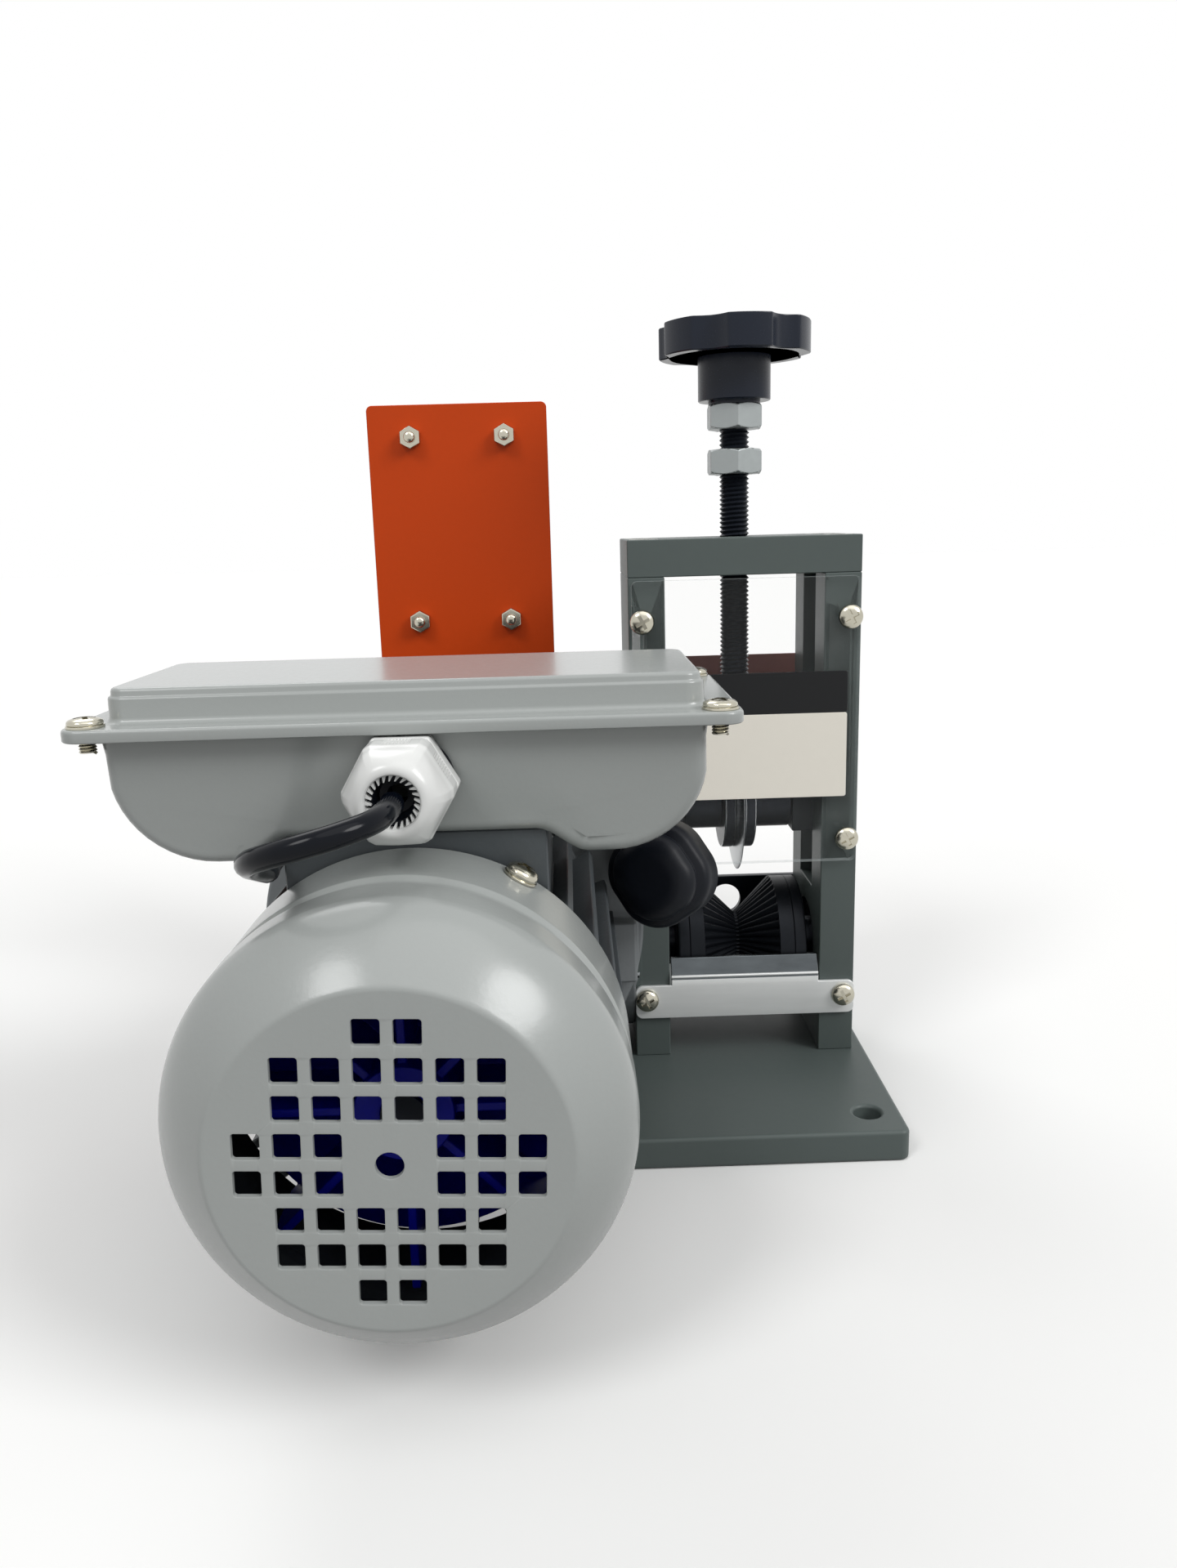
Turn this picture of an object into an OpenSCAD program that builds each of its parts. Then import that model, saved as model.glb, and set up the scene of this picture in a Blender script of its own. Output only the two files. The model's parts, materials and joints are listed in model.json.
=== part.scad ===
// Bench wire stripper with a worm-geared motor, a toothed V roller and an adjustable round blade.
// X runs left to right, Y from the outfeed side to the infeed side, Z up from the bench.

/* [Base] */
// Width of the base plate, left to right
base_w = 187; // [182:1:240]
// Depth of the base plate, outfeed to infeed
base_d = 167; // [160:1:190]
// Thickness of the base plate
base_t = 10; // [8:0.5:16]
// Corner radius of the base plate
base_corner_r = 3; // [1:0.5:8]
// Diameter of the bench bolt holes
base_hole_d = 8.5; // [5:0.1:11]
// Distance between the bench bolt holes, left to right
base_hole_w = 166; // [160:1:168]
// Distance between the bench bolt holes, outfeed to infeed
base_hole_l = 141; // [120:1:146]

/* [Frame] */
// Distance of the frame's middle from the base's middle
frame_x = 51; // [48:0.5:54]
// Outer width of the frame
frame_w = 76; // [74:0.5:80]
// Depth of the side plates and the crossbar
frame_d = 50; // [48:1:60]
// Thickness of the side plates
plate_t = 12; // [11:0.5:13]
// Height of the side plates
side_h = 166; // [160:1:190]
// Thickness of the crossbar
bar_t = 12; // [10:0.5:20]
// Width of the slide grooves in the side plates
groove_w = 20; // [19:0.5:22]
// Depth of the slide grooves
groove_depth = 5; // [3:0.5:6]
// Thickness of the clear guards and of the infeed plate
guard_t = 3; // [2:0.5:5]
// Height of the guards' lower edges above the roller axis
guard_h = 36; // [28:1:40]
// Distance of the guard screws from the frame's sides
guard_screw_edge = 4.3; // [4:0.1:6]
// Sheet thickness of the outfeed tray
tray_t = 1.5; // [1:0.1:2]

/* [Roller] */
// Outer diameter of the roller
roller_d = 44; // [40:0.5:45]
// Gap between the roller's ends and the side plates
roller_gap = 3.5; // [2:0.25:6]
// Depth of the roller's V groove
roller_v = 13; // [10:0.5:14]
// Diameter of the roller shaft
roller_shaft_d = 14; // [12:0.5:15]
// Outer diameter of the roller and wheel bearings
bearing_d = 28; // [26:0.5:29]
// Width of the roller and wheel bearings
bearing_w = 7; // [5:0.5:8]
// Diameter of the wire hole in the infeed plate
wire_hole_d = 11.5; // [6:0.5:16]

/* [Cutting head] */
// Height of the blade axis above the roller axis
blade_h = 52; // [50:0.5:56]
// Diameter of the blade
blade_d = 50; // [46:0.5:51]
// Thickness of the blade
blade_t = 3; // [2:0.25:4]
// Diameter of the blade's clamp flanges
blade_flange_d = 34; // [28:0.5:36]
// Diameter of the blade shaft
blade_shaft_d = 8; // [6:0.5:9]
// Diameter of the feed screw
screw_d = 10; // [8:0.5:12]
// Gap between the crossbar and the lock nut
lock_nut_gap = 20.5; // [18:0.5:30]
// Thickness of the feed screw's nuts
nut_t = 8; // [6:0.5:10]
// Gap between the two nuts
nut_gap = 6.5; // [3:0.5:12]
// Diameter of the star knob
knob_d = 50; // [40:1:60]
// Thickness of the star knob's rim
knob_t = 11; // [8:0.5:20]
// Diameter of the knob's hub
knob_hub_d = 24; // [20:0.5:30]
// Length of the knob's hub below its rim
knob_hub_l = 15; // [8:0.5:20]

/* [Motor and gearbox] */
// Distance of the motor axis from the base's middle
motor_x = -45; // [-47:0.5:-44]
// Centre distance of the worm and the worm wheel
worm_centres = 26; // [25.9:0.1:27]
// Teeth of the worm wheel
wheel_teeth = 30; // [24:1:36]
// Diameter of the motor's shell
shell_d = 88; // [84:1:90]
// Height of the motor's cooling fins
fin_h = 6; // [4:0.5:6.5]
// Number of cooling fins
fin_count = 30; // [20:2:40]
// How far the fan cover stands out from the motor's shell
cover_out = 6.75; // [6:0.25:9]
// Wall of the fan cover
fan_cover_wall = 1.5; // [1:0.1:2]
// Pitch of the cooling slots in the fan cover
vent_pitch = 8.1; // [7.5:0.1:8.5]
// Width of a cooling slot
vent_w = 5.6; // [4:0.1:6]
// Turn of the rows of slots about the motor's axis
vent_turn = 2.2; // [0:0.1:5]
// Number of fan blades
fan_blades = 8; // [5:1:11]

/* [Terminal box] */
// Width of the terminal box
box_w = 137; // [132:1:140]
// Depth of the terminal box
box_l = 62; // [58:1:64]
// Height of the terminal box's rim above its floor
box_h = 25; // [23:0.5:30]
// Wall of the terminal box
box_wall = 2.5; // [1.5:0.25:3]
// Width of the rim left and right of the terminal box
rim_side = 7.75; // [7.5:0.25:10]
// Width of the rim in front of and behind the terminal box
rim_end = 4; // [3.5:0.25:6]
// Height of the lid's raised top above its rim
lid_rise = 8; // [5:0.5:12]
// Distance across the flats of the cable gland
gland_af = 22; // [20:0.5:24]

/* [Switch] */
// Width of the switch plate
switch_plate_w = 64; // [60:1:66]
// Height of the switch plate's top edge above the base plate
switch_plate_h = 226.5; // [220:0.5:240]
// Sheet thickness of the switch plate
switch_plate_t = 1.5; // [1:0.25:3]
// Distance between the switch screws, left to right
switch_hole_w = 33.4; // [30:0.1:36]
// Distance between the switch screws, up and down
switch_hole_h = 65; // [60:0.5:68]
// Depth of the switch housing
switch_d = 34; // [30:0.5:40]
// Diameter of the start and stop buttons
button_d = 22; // [18:0.5:24]

/* [Hidden] */
$fn = 48;

// Clearances
fit = 0.05;
slide_gap = 0.3;

// Heights and faces that several pieces share
flange_edge = 9.5;
flange_gap = 0.5;
foot_t = 5;
foot_gap = 1;
cover_d = 56;
bolt_d = 6;
bolt_head_d = 10;
flange_bolt_r = shell_d / 2 + bolt_head_d * 0.6;
flange_d = 2 * (flange_bolt_r + flange_edge);
motor_z = base_t + max(flange_d / 2 + flange_gap, foot_t + foot_gap + cover_d / 2 + worm_centres);
roller_z = motor_z - worm_centres;
blade_z = roller_z + blade_h;
groove_low = roller_z + bearing_d / 2 + 8;
side_top = base_t + side_h;
bar_top = side_top + bar_t;
left_out = frame_x - frame_w / 2;
left_in = left_out + plate_t;
right_out = frame_x + frame_w / 2;
right_in = right_out - plate_t;
face_y = frame_d / 2;
plate_mids = [left_out + plate_t / 2, right_out - plate_t / 2];

// Fasteners of the frame
bolt_y = face_y - 10;
bolt_depth = 10;
pan_d = 4;
pan_head_d = 7.9;
pan_head_h = 2.8;
pan_len = 10;
guard_top = side_top - 1;
guard_w = frame_w - 2;
guard_screw_x = frame_w / 2 - guard_screw_edge;
guard_screw_top = side_top - 14;
guard_low = roller_z + guard_h;
guard_screw_low = guard_low + 8;
tray_screw_x = frame_w / 2 - 4;
tray_screw_z = roller_z - 12.6;
washer_d = 8.4;
washer_t = 0.6;

// Outfeed tray and infeed plate
tray_h = 12;
tray_low = tray_screw_z - tray_h / 2 - 1;
tray_lip_w = right_in - left_in - 1;
tray_lip_rise = 9;
tray_lip_in = 3;
infeed_top = roller_z + 15.5;
wire_hole_z = roller_z + 6.5;

// Blade carriage, its bearings and the feed screw's button
leg_w = groove_w - 2 * slide_gap;
leg_in = 7;
leg_low = blade_z - 10;
bridge_low = blade_z + blade_d / 2 + 2;
bridge_t = 15;
bridge_top = bridge_low + bridge_t;
blade_bearing_d = blade_shaft_d + 8;
blade_bearing_w = 5;
blade_flange_t = 4;
blade_bevel = 6.5;
spacer_d = 20;
button_low = bridge_low + 3;
button_t = 4;
screw_button_d = screw_d + 6;
lock_nut_z = bar_top + lock_nut_gap;
jam_nut_z = lock_nut_z + nut_t + nut_gap;
hub_z = jam_nut_z + nut_t;
knob_z = hub_z + knob_hub_l;
knob_lobes = 6;
knob_turn = 4.2;
knob_hollow_d = 24;
knob_hollow_in = 2.2;
nut_af = screw_d * 1.7;

// Worm gear: the wheel's teeth and the worm's thread are waves of one height in step
tooth_wave = 1;
wheel_r = 18;
worm_lead = 2 * PI * wheel_r / wheel_teeth;
worm_r = worm_centres - wheel_r - slide_gap;
worm_len = 28;
wheel_t = 10;
wheel_hub_d = 24;
wheel_hub_l = 30;

// Gearbox along X, Y and Z
box_half = 23;
gear_left = motor_x - box_half;
gear_right = motor_x + box_half;
gear_y = 35;
gear_rise = 25.5;
gear_top = motor_z + gear_rise;
wheel_room_d = 44;
worm_room_d = 22;
foot_x = 35;
foot_bolt_x = 29;
foot_bolt_y = 22;
cover_t = 8;
cover_bolt_r = 24;
spigot_t = 4;
neck_d = 40;
motor_neck_d = 46;
output_disc_d = 60;
output_disc_t = 8;
output_seat_l = 16;
output_bolt_r = 25;
cap_screw_d = 4;
input_bearing_d = 30;
input_bearing_y = -34;
input_journal_d = 17;
far_bearing_d = 24;
far_bearing_y = 22;
far_journal_d = 12;
far_bearing_w = 6;
worm_cap_t = 6;
worm_in_y = -42;
shaft_end_y = -22;

// Motor along Y, from the gearbox to the fan cover's face
joint_y = -47;
flange_t = 9;
gear_flange_t = 9;
body_front = -62;
body_rear = -142;
stator_front = -82;
stator_rear = -122;
winding_l = 12;
shell_wall = 4;
bore_d = shell_d - 2 * shell_wall;
stator_bore_d = 48;
air_gap = 0.4;
shield_t = 6;
shield_rear = body_rear - shield_t;
front_bearing_d = 32;
front_bearing_w = 9;
front_bearing_y = -66;
front_journal_d = 15;
rear_bearing_d = 28;
rear_bearing_w = 8;
rear_bearing_y = -146;
rear_journal_d = 12;
shaft_end_d = 9;
core_shaft_d = 16;
fan_shaft_d = 10;
fan_rear = -176;
fan_front = -153;
fan_hub_d = 22;
fan_cover_d = shell_d + 2 * cover_out;
fan_d = shell_d;
cover_open_y = -143;
cover_turn_y = -182;
cover_face_y = -197;
cover_screw_y = -147;
cover_boss_d = 9;
cover_boss_in = 8;
cover_skirt_d = fan_cover_d - 0.5;
cover_face_r = 39.5;
cover_screw_angles = [60, 180, 300];
fin_t = 2.4;
fin_d = shell_d + 2 * fin_h;
lug_w = 11;
lug_l = 5.5;
lug_h = 20;
lug_drop = 18;

// Terminal box above the motor
box_x = motor_x + 1.2;
box_y = -118;
cover_gap = 3.25;
box_floor = motor_z + fan_cover_d / 2 + cover_gap;
box_rim_z = box_floor + box_h;
box_rim_t = 1.5;
lobe_r = 22;
lobe_drop = 6;
lobe_low = box_floor - lobe_drop;
lobe_flat = 9;
lobe_slope = 6;
lobe_x = box_w / 2 - lobe_r;
pad_w = 2 * (lobe_x - lobe_flat - lobe_slope) - 1;
lid_w = box_w + 2 * rim_side;
lid_l = box_l + 2 * rim_end;
capacitor_d = 26;
capacitor_l = 46;
lid_z = box_rim_z + box_rim_t;
lid_rim_t = 1.5;
lid_step = 8;
lid_bead = 0.8;
lid_wall = 2;
lid_screw_x = lid_w / 2 - 5.25;
lid_screw_y = lid_l / 2 - 5;
lid_head_h = 1.8;
lid_screw_out = 1.9;
lid_screw_l = washer_t + lid_rim_t + box_rim_t + lid_screw_out;
lid_corner_r = 5;
lid_hole_d = pan_d + 2 * fit;
box_near = box_y - box_l / 2;
box_far = box_y + box_l / 2;
pad_far = box_far - 5;
gland_x = motor_x + 0.8;
gland_gap = 0.5;
gland_z = box_rim_z - gland_af / 2 - gland_gap;
gland_flange_t = 5;
gland_nut_l = 16;
gland_thread_d = 16;
gland_mouth_d = 12.4;
gland_face = box_near - gland_flange_t - gland_nut_l;

// Switch plate and housing
switch_x = motor_x + 1;
plate_near = 28;
plate_far = plate_near + switch_plate_t;
switch_plate_top = base_t + switch_plate_h;
switch_screw_top = switch_plate_top - 11.3;
switch_screw_low = switch_screw_top - switch_hole_h;
switch_mid = (switch_screw_top + switch_screw_low) / 2;
switch_w = 54;
switch_h = 84;
switch_wall = 2.5;
switch_face = plate_far + switch_d;
button_rise = 20;
button_out = 3.5;
button_len = 9;
switch_nut_af = 7;
switch_nut_t = 3.2;
switch_boss_d = 8;
switch_thread_l = 8;
plate_foot_l = 23;
plate_foot_x = 18;
plate_screw_l = 12;
cable_z = box_floor + 12;
cable_r = 2.5;

// Power cord: a lead from the gland, a coil on the bench and a tail to the plug
cord_d = 5.2;
cord_sides = 10;
coil_sides = 6;
coil_pos = [-45, 132];
coil_turns = 4.5;
coil_steps = 24;
coil_pitch = 5.8;
coil_r = 33.5;
coil_low = 3.8;
tie_w = 10;
tie_t = 0.8;
plug_d = 34;
plug_t = 12;
plug_pos = [19.5, -69.5, 90];
plug_axis = [0.36, 0.92, -0.16];
plug_up = [-0.52, 0.33, 0.79];
relief_l = 22;
pin_d = 4.8;
pin_l = 19;
pin_gap = 19;

lead_points = [
    [gland_x, gland_face, gland_z], [gland_x, gland_face - 5, gland_z], [-46, -183, 137],
    [-51.3, -188.5, 136], [-58.7, -190.5, 134.3], [-66, -188.5, 132], [-71.3, -183, 129.3],
    [-73.3, -176, 126.6], [-73.7, -168, 123.6], [-74.5, -160, 120.8], [-76, -152, 118.5], [-77.8, -144, 117],
    [-79.3, -134, 115.8], [-80.4, -122, 114.8], [-81.3, -109, 114.2], [-82, -95, 114.6], [-82.5, -80, 116],
    [-83, -64, 118.2], [-83, -47, 119.2], [-83.5, -33, 117.5],
    [-84, -20, 112], [-84.5, -9, 103.5], [-85, 0, 92.5], [-85.5, 8, 80], [-86, 15, 67], [-86.5, 22, 54],
    [-86, 29, 41.5], [-83.5, 38, 30], [-79.5, 48, 20.5], [-75.5, 59, 15], [-72.5, 70, 13.2], [-71.5, 81, 13],
    [-72, 91, 11.2], [-74, 101, 8], [-76.5, 111, 5.2],
    [coil_pos[0] - coil_r, coil_pos[1] - cord_d - 4, coil_low],
    [coil_pos[0] - coil_r, coil_pos[1] - cord_d, coil_low]
];
relief_end = plug_pos + (plug_d / 2 + relief_l) * plug_up;
tail_points = [
    relief_end, relief_end + 5 * plug_up, [-7.3, -52, 127.5], [-9.2, -45, 130], [-10, -37, 130.6],
    [-10.3, -28, 129], [-10, -18, 125], [-9.5, -8, 118.5], [-9, 2, 110.5], [-8, 12, 101], [-7, 21, 91.5],
    [-6, 31, 80.5], [-5, 41, 68.5], [-4.5, 51, 55.5], [-4.5, 61, 42.5], [-5, 71, 31], [-6, 81, 21.5],
    [-8, 92, 14.5], [-10, 103, 11], [-11.2, 113, 9.8],
    [coil_pos[0] + coil_r, coil_pos[1] - cord_d - 4, coil_low + coil_pitch],
    [coil_pos[0] + coil_r, coil_pos[1] - cord_d, coil_low + coil_pitch]
];
cable_points = [
    [switch_x, plate_far + 2, cable_z], [switch_x, plate_near - 8, cable_z], [switch_x, 6, cable_z - 1.5],
    [switch_x, -10, cable_z - 2.8], [switch_x, -30, cable_z - 3.2], [switch_x, -50, cable_z - 2.8],
    [switch_x, -66, cable_z - 1.5], [switch_x, box_far + 8, cable_z], [switch_x, box_far - 6, cable_z]
];

// Cylinders along X and Y, and outlines pushed along them
module rod_x(x0, x1, y, z, d) {
    translate([x0, y, z]) rotate([0, 90, 0]) cylinder(d = d, h = x1 - x0);
}

module rod_y(y0, y1, x, z, d) {
    translate([x, y0, z]) rotate([-90, 0, 0]) cylinder(d = d, h = y1 - y0);
}

module rod_z(z0, z1, x, y, d) {
    translate([x, y, z0]) cylinder(d = d, h = z1 - z0);
}

module push_x(x0, x1) {
    translate([x0, 0, 0]) rotate([90, 0, 90]) linear_extrude(x1 - x0) children();
}

module push_y(y0, y1) {
    translate([0, y1, 0]) rotate([90, 0, 0]) linear_extrude(y1 - y0) children();
}

module ring_x(x0, x1, z, outer, inner) {
    difference() {
        rod_x(x0, x1, 0, z, outer);
        rod_x(x0 - 1, x1 + 1, 0, z, inner);
    }
}

module ring_y(y0, y1, x, z, outer, inner) {
    difference() {
        rod_y(y0, y1, x, z, outer);
        rod_y(y0 - 1, y1 + 1, x, z, inner);
    }
}

module rounded(w, l, r) {
    square([w - 2 * r, l], center = true);
    square([w, l - 2 * r], center = true);
    for (sx = [-1, 1], sy = [-1, 1]) translate([sx * (w / 2 - r), sy * (l / 2 - r)]) circle(r);
}

// A spot on the motor's circle, with local X pointing outwards
module on_motor(angle) {
    translate([motor_x, 0, motor_z]) rotate([0, -angle, 0]) children();
}

// A pan-head screw along Z, head upwards, seated at its head's underside
module pan_screw(d, head_d, head_h, len) {
    translate([0, 0, -len]) cylinder(d = d, h = len + 0.1);
    rotate_extrude() polygon([
        [0, 0], [head_d / 2, 0], [head_d / 2, head_h * 0.45],
        for (a = [30, 55, 75]) [head_d / 2 * cos(a), head_h * (0.45 + 0.55 * sin(a))],
        [0, head_h]
    ]);
}

// A hexagonal solid along Z
module hexagon(af, h) {
    cylinder(d = af / cos(30), h = h, $fn = 6);
}

// Swept round tube through a list of points
function unit(v) = v / norm(v);
function tangents(p) = [
    for (i = [0:len(p) - 1]) unit(p[min(i + 1, len(p) - 1)] - p[max(i - 1, 0)])
];
function route_length(p) = [for (i = [1:len(p) - 1]) norm(p[i] - p[i - 1])] * [for (i = [1:len(p) - 1]) 1];

module tube(p, r, sides) {
    t = tangents(p);
    n = len(p);
    rings = [
        for (i = [0:n - 1]) let (s = unit(cross(t[i], [0, 0, 1])), u = cross(s, t[i]))
        for (k = [0:sides - 1]) p[i] + r * (cos(360 * k / sides) * s + sin(360 * k / sides) * u)
    ];
    walls = [
        for (i = [0:n - 2], k = [0:sides - 1]) let (a = i * sides + k, b = i * sides + (k + 1) % sides)
        each [[a, b, b + sides], [a, b + sides, a + sides]]
    ];
    first = [for (k = [1:sides - 2]) [0, k + 1, k]];
    last = [for (k = [1:sides - 2]) [(n - 1) * sides, (n - 1) * sides + k, (n - 1) * sides + k + 1]];
    polyhedron(points = rings, faces = concat(walls, first, last));
}

// The coil winds in over its first layer and out again over its second
function coil_radius(turn) = coil_r - coil_pitch * min(turn, coil_turns - turn);
function coil_rise(turn) = coil_pitch * min(1, max(0, (turn - coil_turns / 2) * 2 + 0.5));
coil_loops = [
    for (i = [0:coil_turns * coil_steps])
        let (turn = i / coil_steps, a = 180 - 360 * turn, r = coil_radius(turn))
        [coil_pos[0] + r * cos(a), coil_pos[1] + r * sin(a), coil_low + coil_rise(turn)]
];
coil_points = concat(
    [coil_loops[0] - [0, cord_d, 0]], coil_loops, [coil_loops[len(coil_loops) - 1] - [0, cord_d, 0]]
);
coil_gap = min([
    for (i = [0:len(coil_loops) - 1], j = [i + coil_steps / 2:1:len(coil_loops) - 1])
        norm(coil_loops[i] - coil_loops[j]) - cord_d
]);
echo(coil_gap = coil_gap);
echo(cord_length = route_length(lead_points) + route_length(coil_points) + route_length(tail_points));

// Base plate and frame
module base_plate() {
    color("dimgray") difference() {
        linear_extrude(base_t) rounded(base_w, base_d, base_corner_r);
        for (sx = [-1, 1], sy = [-1, 1])
            rod_z(-1, base_t + 1, sx * base_hole_w / 2, sy * base_hole_l / 2, base_hole_d);
        for (x = plate_mids, sy = [-1, 1]) translate([x, sy * bolt_y, 0]) {
            translate([0, 0, -1]) cylinder(d = bolt_d + 2 * fit, h = base_t + 2);
            countersink(fit);
        }
        for (sx = [-1, 1], sy = [-1, 1])
            rod_z(-1, base_t + 1, motor_x + sx * foot_bolt_x, sy * foot_bolt_y, bolt_d + 2 * fit);
    }
}

// Cone of a countersunk head, open end at the base plate's underside
module countersink(gap) {
    depth = (bolt_head_d + 2 - bolt_d) / 2;
    translate([0, 0, -gap]) cylinder(d1 = bolt_head_d + 2 + 2 * gap, d2 = bolt_d + 2 * gap, h = depth);
}

// A side plate with its slide groove, bearing pocket and tapped holes; dir points to the frame's middle
module side_plate(outer, dir) {
    inner = outer + dir * plate_t;
    mid = outer + dir * plate_t / 2;
    difference() {
        translate([min(outer, inner), -face_y, base_t]) cube([plate_t, frame_d, side_h]);
        translate([dir > 0 ? inner - groove_depth : inner - 1, -groove_w / 2, groove_low])
            cube([groove_depth + 1, groove_w, side_h]);
        rod_x(dir > 0 ? inner - bearing_w : inner - 1, dir > 0 ? inner + 1 : inner + bearing_w, 0, roller_z,
            bearing_d + 2 * fit);
        rod_x(min(outer, inner) - 1, max(outer, inner) + 1, 0, roller_z, roller_shaft_d + 2);
        for (sy = [-1, 1]) {
            rod_z(base_t - 1, base_t + bolt_depth + 4, mid, sy * bolt_y, bolt_d + 2 * fit);
            rod_z(side_top - bolt_depth, side_top + 1, mid, sy * bolt_y, bolt_d + 2 * fit);
            for (z = [guard_screw_top, guard_screw_low])
                face_hole(frame_x - dir * guard_screw_x, sy, z);
            face_hole(frame_x - dir * tray_screw_x, sy, tray_screw_z);
        }
    }
}

// A tapped hole in the near or far face of a side plate
module face_hole(x, side, z) {
    depth = pan_len + 0.5;
    from = side > 0 ? face_y - depth : -face_y - 1;
    rod_y(from, from + depth + 1, x, z, pan_d + 2 * fit);
}

module left_side_plate() {
    color("dimgray") difference() {
        side_plate(left_out, 1);
        for (a = [45:90:315])
            rod_x(left_out - 1, left_out + 6.5, output_bolt_r * cos(a), roller_z + output_bolt_r * sin(a),
                cap_screw_d + 2 * fit);
    }
}

module right_side_plate() {
    color("dimgray") side_plate(right_out, -1);
}

module top_crossbar() {
    color("dimgray") difference() {
        translate([left_out, -face_y, side_top]) cube([frame_w, frame_d, bar_t]);
        rod_z(side_top - 1, bar_top + 1, frame_x, 0, screw_d + 2 * fit);
        for (x = plate_mids, sy = [-1, 1]) {
            rod_z(side_top - 1, bar_top + 1, x, sy * bolt_y, bolt_d + 2 * fit);
            rod_z(bar_top - bolt_d, bar_top + 1, x, sy * bolt_y, bolt_head_d + 0.6);
        }
    }
}

module frame_bolts() {
    color("silver") for (x = plate_mids, sy = [-1, 1]) translate([x, sy * bolt_y, 0]) {
        difference() {
            union() {
                translate([0, 0, side_top - bolt_depth + 0.5])
                    cylinder(d = bolt_d, h = bar_t + bolt_depth - bolt_d);
                translate([0, 0, bar_top - bolt_d]) cylinder(d = bolt_head_d, h = bolt_d);
            }
            translate([0, 0, bar_top - 3]) hexagon(5, 4);
        }
        cylinder(d = bolt_d, h = base_t + bolt_depth + 3);
        difference() {
            countersink(0);
            translate([0, 0, -1]) hexagon(4, 3);
        }
    }
}

// Clear guard with its four screw holes; side is -1 for the outfeed and 1 for the infeed
module guard(side) {
    difference() {
        translate([frame_x, side > 0 ? face_y + guard_t : -face_y, (guard_low + guard_top) / 2])
            rotate([90, 0, 0]) linear_extrude(guard_t) rounded(guard_w, guard_top - guard_low, 2);
        for (sx = [-1, 1], z = [guard_screw_top, guard_screw_low])
            rod_y(-face_y - guard_t - 1, face_y + guard_t + 1, frame_x + sx * guard_screw_x, z,
                pan_d + 2 * fit);
    }
}

module outfeed_guard() {
    color("aliceblue", 0.35) guard(-1);
}

module infeed_guard() {
    color("aliceblue", 0.35) guard(1);
}

module pan_screws() {
    color("silver") for (sx = [-1, 1], side = [-1, 1]) {
        for (z = [guard_screw_top, guard_screw_low])
            face_screw(frame_x + sx * guard_screw_x, side, z, guard_t);
        face_screw(frame_x + sx * tray_screw_x, side, tray_screw_z, side < 0 ? tray_t : guard_t);
    }
}

module face_screw(x, side, z, under) {
    translate([x, side * (face_y + under), z]) rotate([side > 0 ? -90 : 90, 0, 0])
        pan_screw(pan_d, pan_head_d, pan_head_h, pan_len);
}

module infeed_plate() {
    color("#26282b") difference() {
        push_y(face_y, face_y + guard_t)
            translate([frame_x, (tray_low + infeed_top) / 2]) rounded(guard_w, infeed_top - tray_low, 2);
        rod_y(face_y - 1, face_y + guard_t + 1, frame_x, wire_hole_z, wire_hole_d);
        for (sx = [-1, 1])
            rod_y(face_y - 1, face_y + guard_t + 1, frame_x + sx * tray_screw_x, tray_screw_z,
                pan_d + 2 * fit);
    }
}

// Bent sheet: a strip across the posts and a lip that leans in towards the roller
module outfeed_tray() {
    strip_top = tray_low + tray_h;
    bend = strip_top + 2;
    color("gainsboro") difference() {
        union() {
            push_y(-face_y - tray_t, -face_y)
                translate([frame_x, tray_low + tray_h / 2]) rounded(frame_w, tray_h, 2.5);
            push_x(frame_x - tray_lip_w / 2, frame_x + tray_lip_w / 2) polygon([
                [-face_y - tray_t, strip_top - 1], [-face_y, strip_top - 1], [-face_y, bend],
                [-face_y + tray_lip_in, bend + tray_lip_rise - 2],
                [-face_y + tray_lip_in - tray_t, bend + tray_lip_rise - 2], [-face_y - tray_t, bend]
            ]);
        }
        for (sx = [-1, 1])
            rod_y(-face_y - tray_t - 1, -face_y + 1, frame_x + sx * tray_screw_x, tray_screw_z,
                pan_d + 2 * fit);
    }
}

module roller_bearings() {
    color("lightsteelblue") {
        ring_x(left_in - bearing_w, left_in, roller_z, bearing_d, roller_shaft_d + 2 * fit);
        ring_x(right_in, right_in + bearing_w, roller_z, bearing_d, roller_shaft_d + 2 * fit);
    }
}

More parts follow.
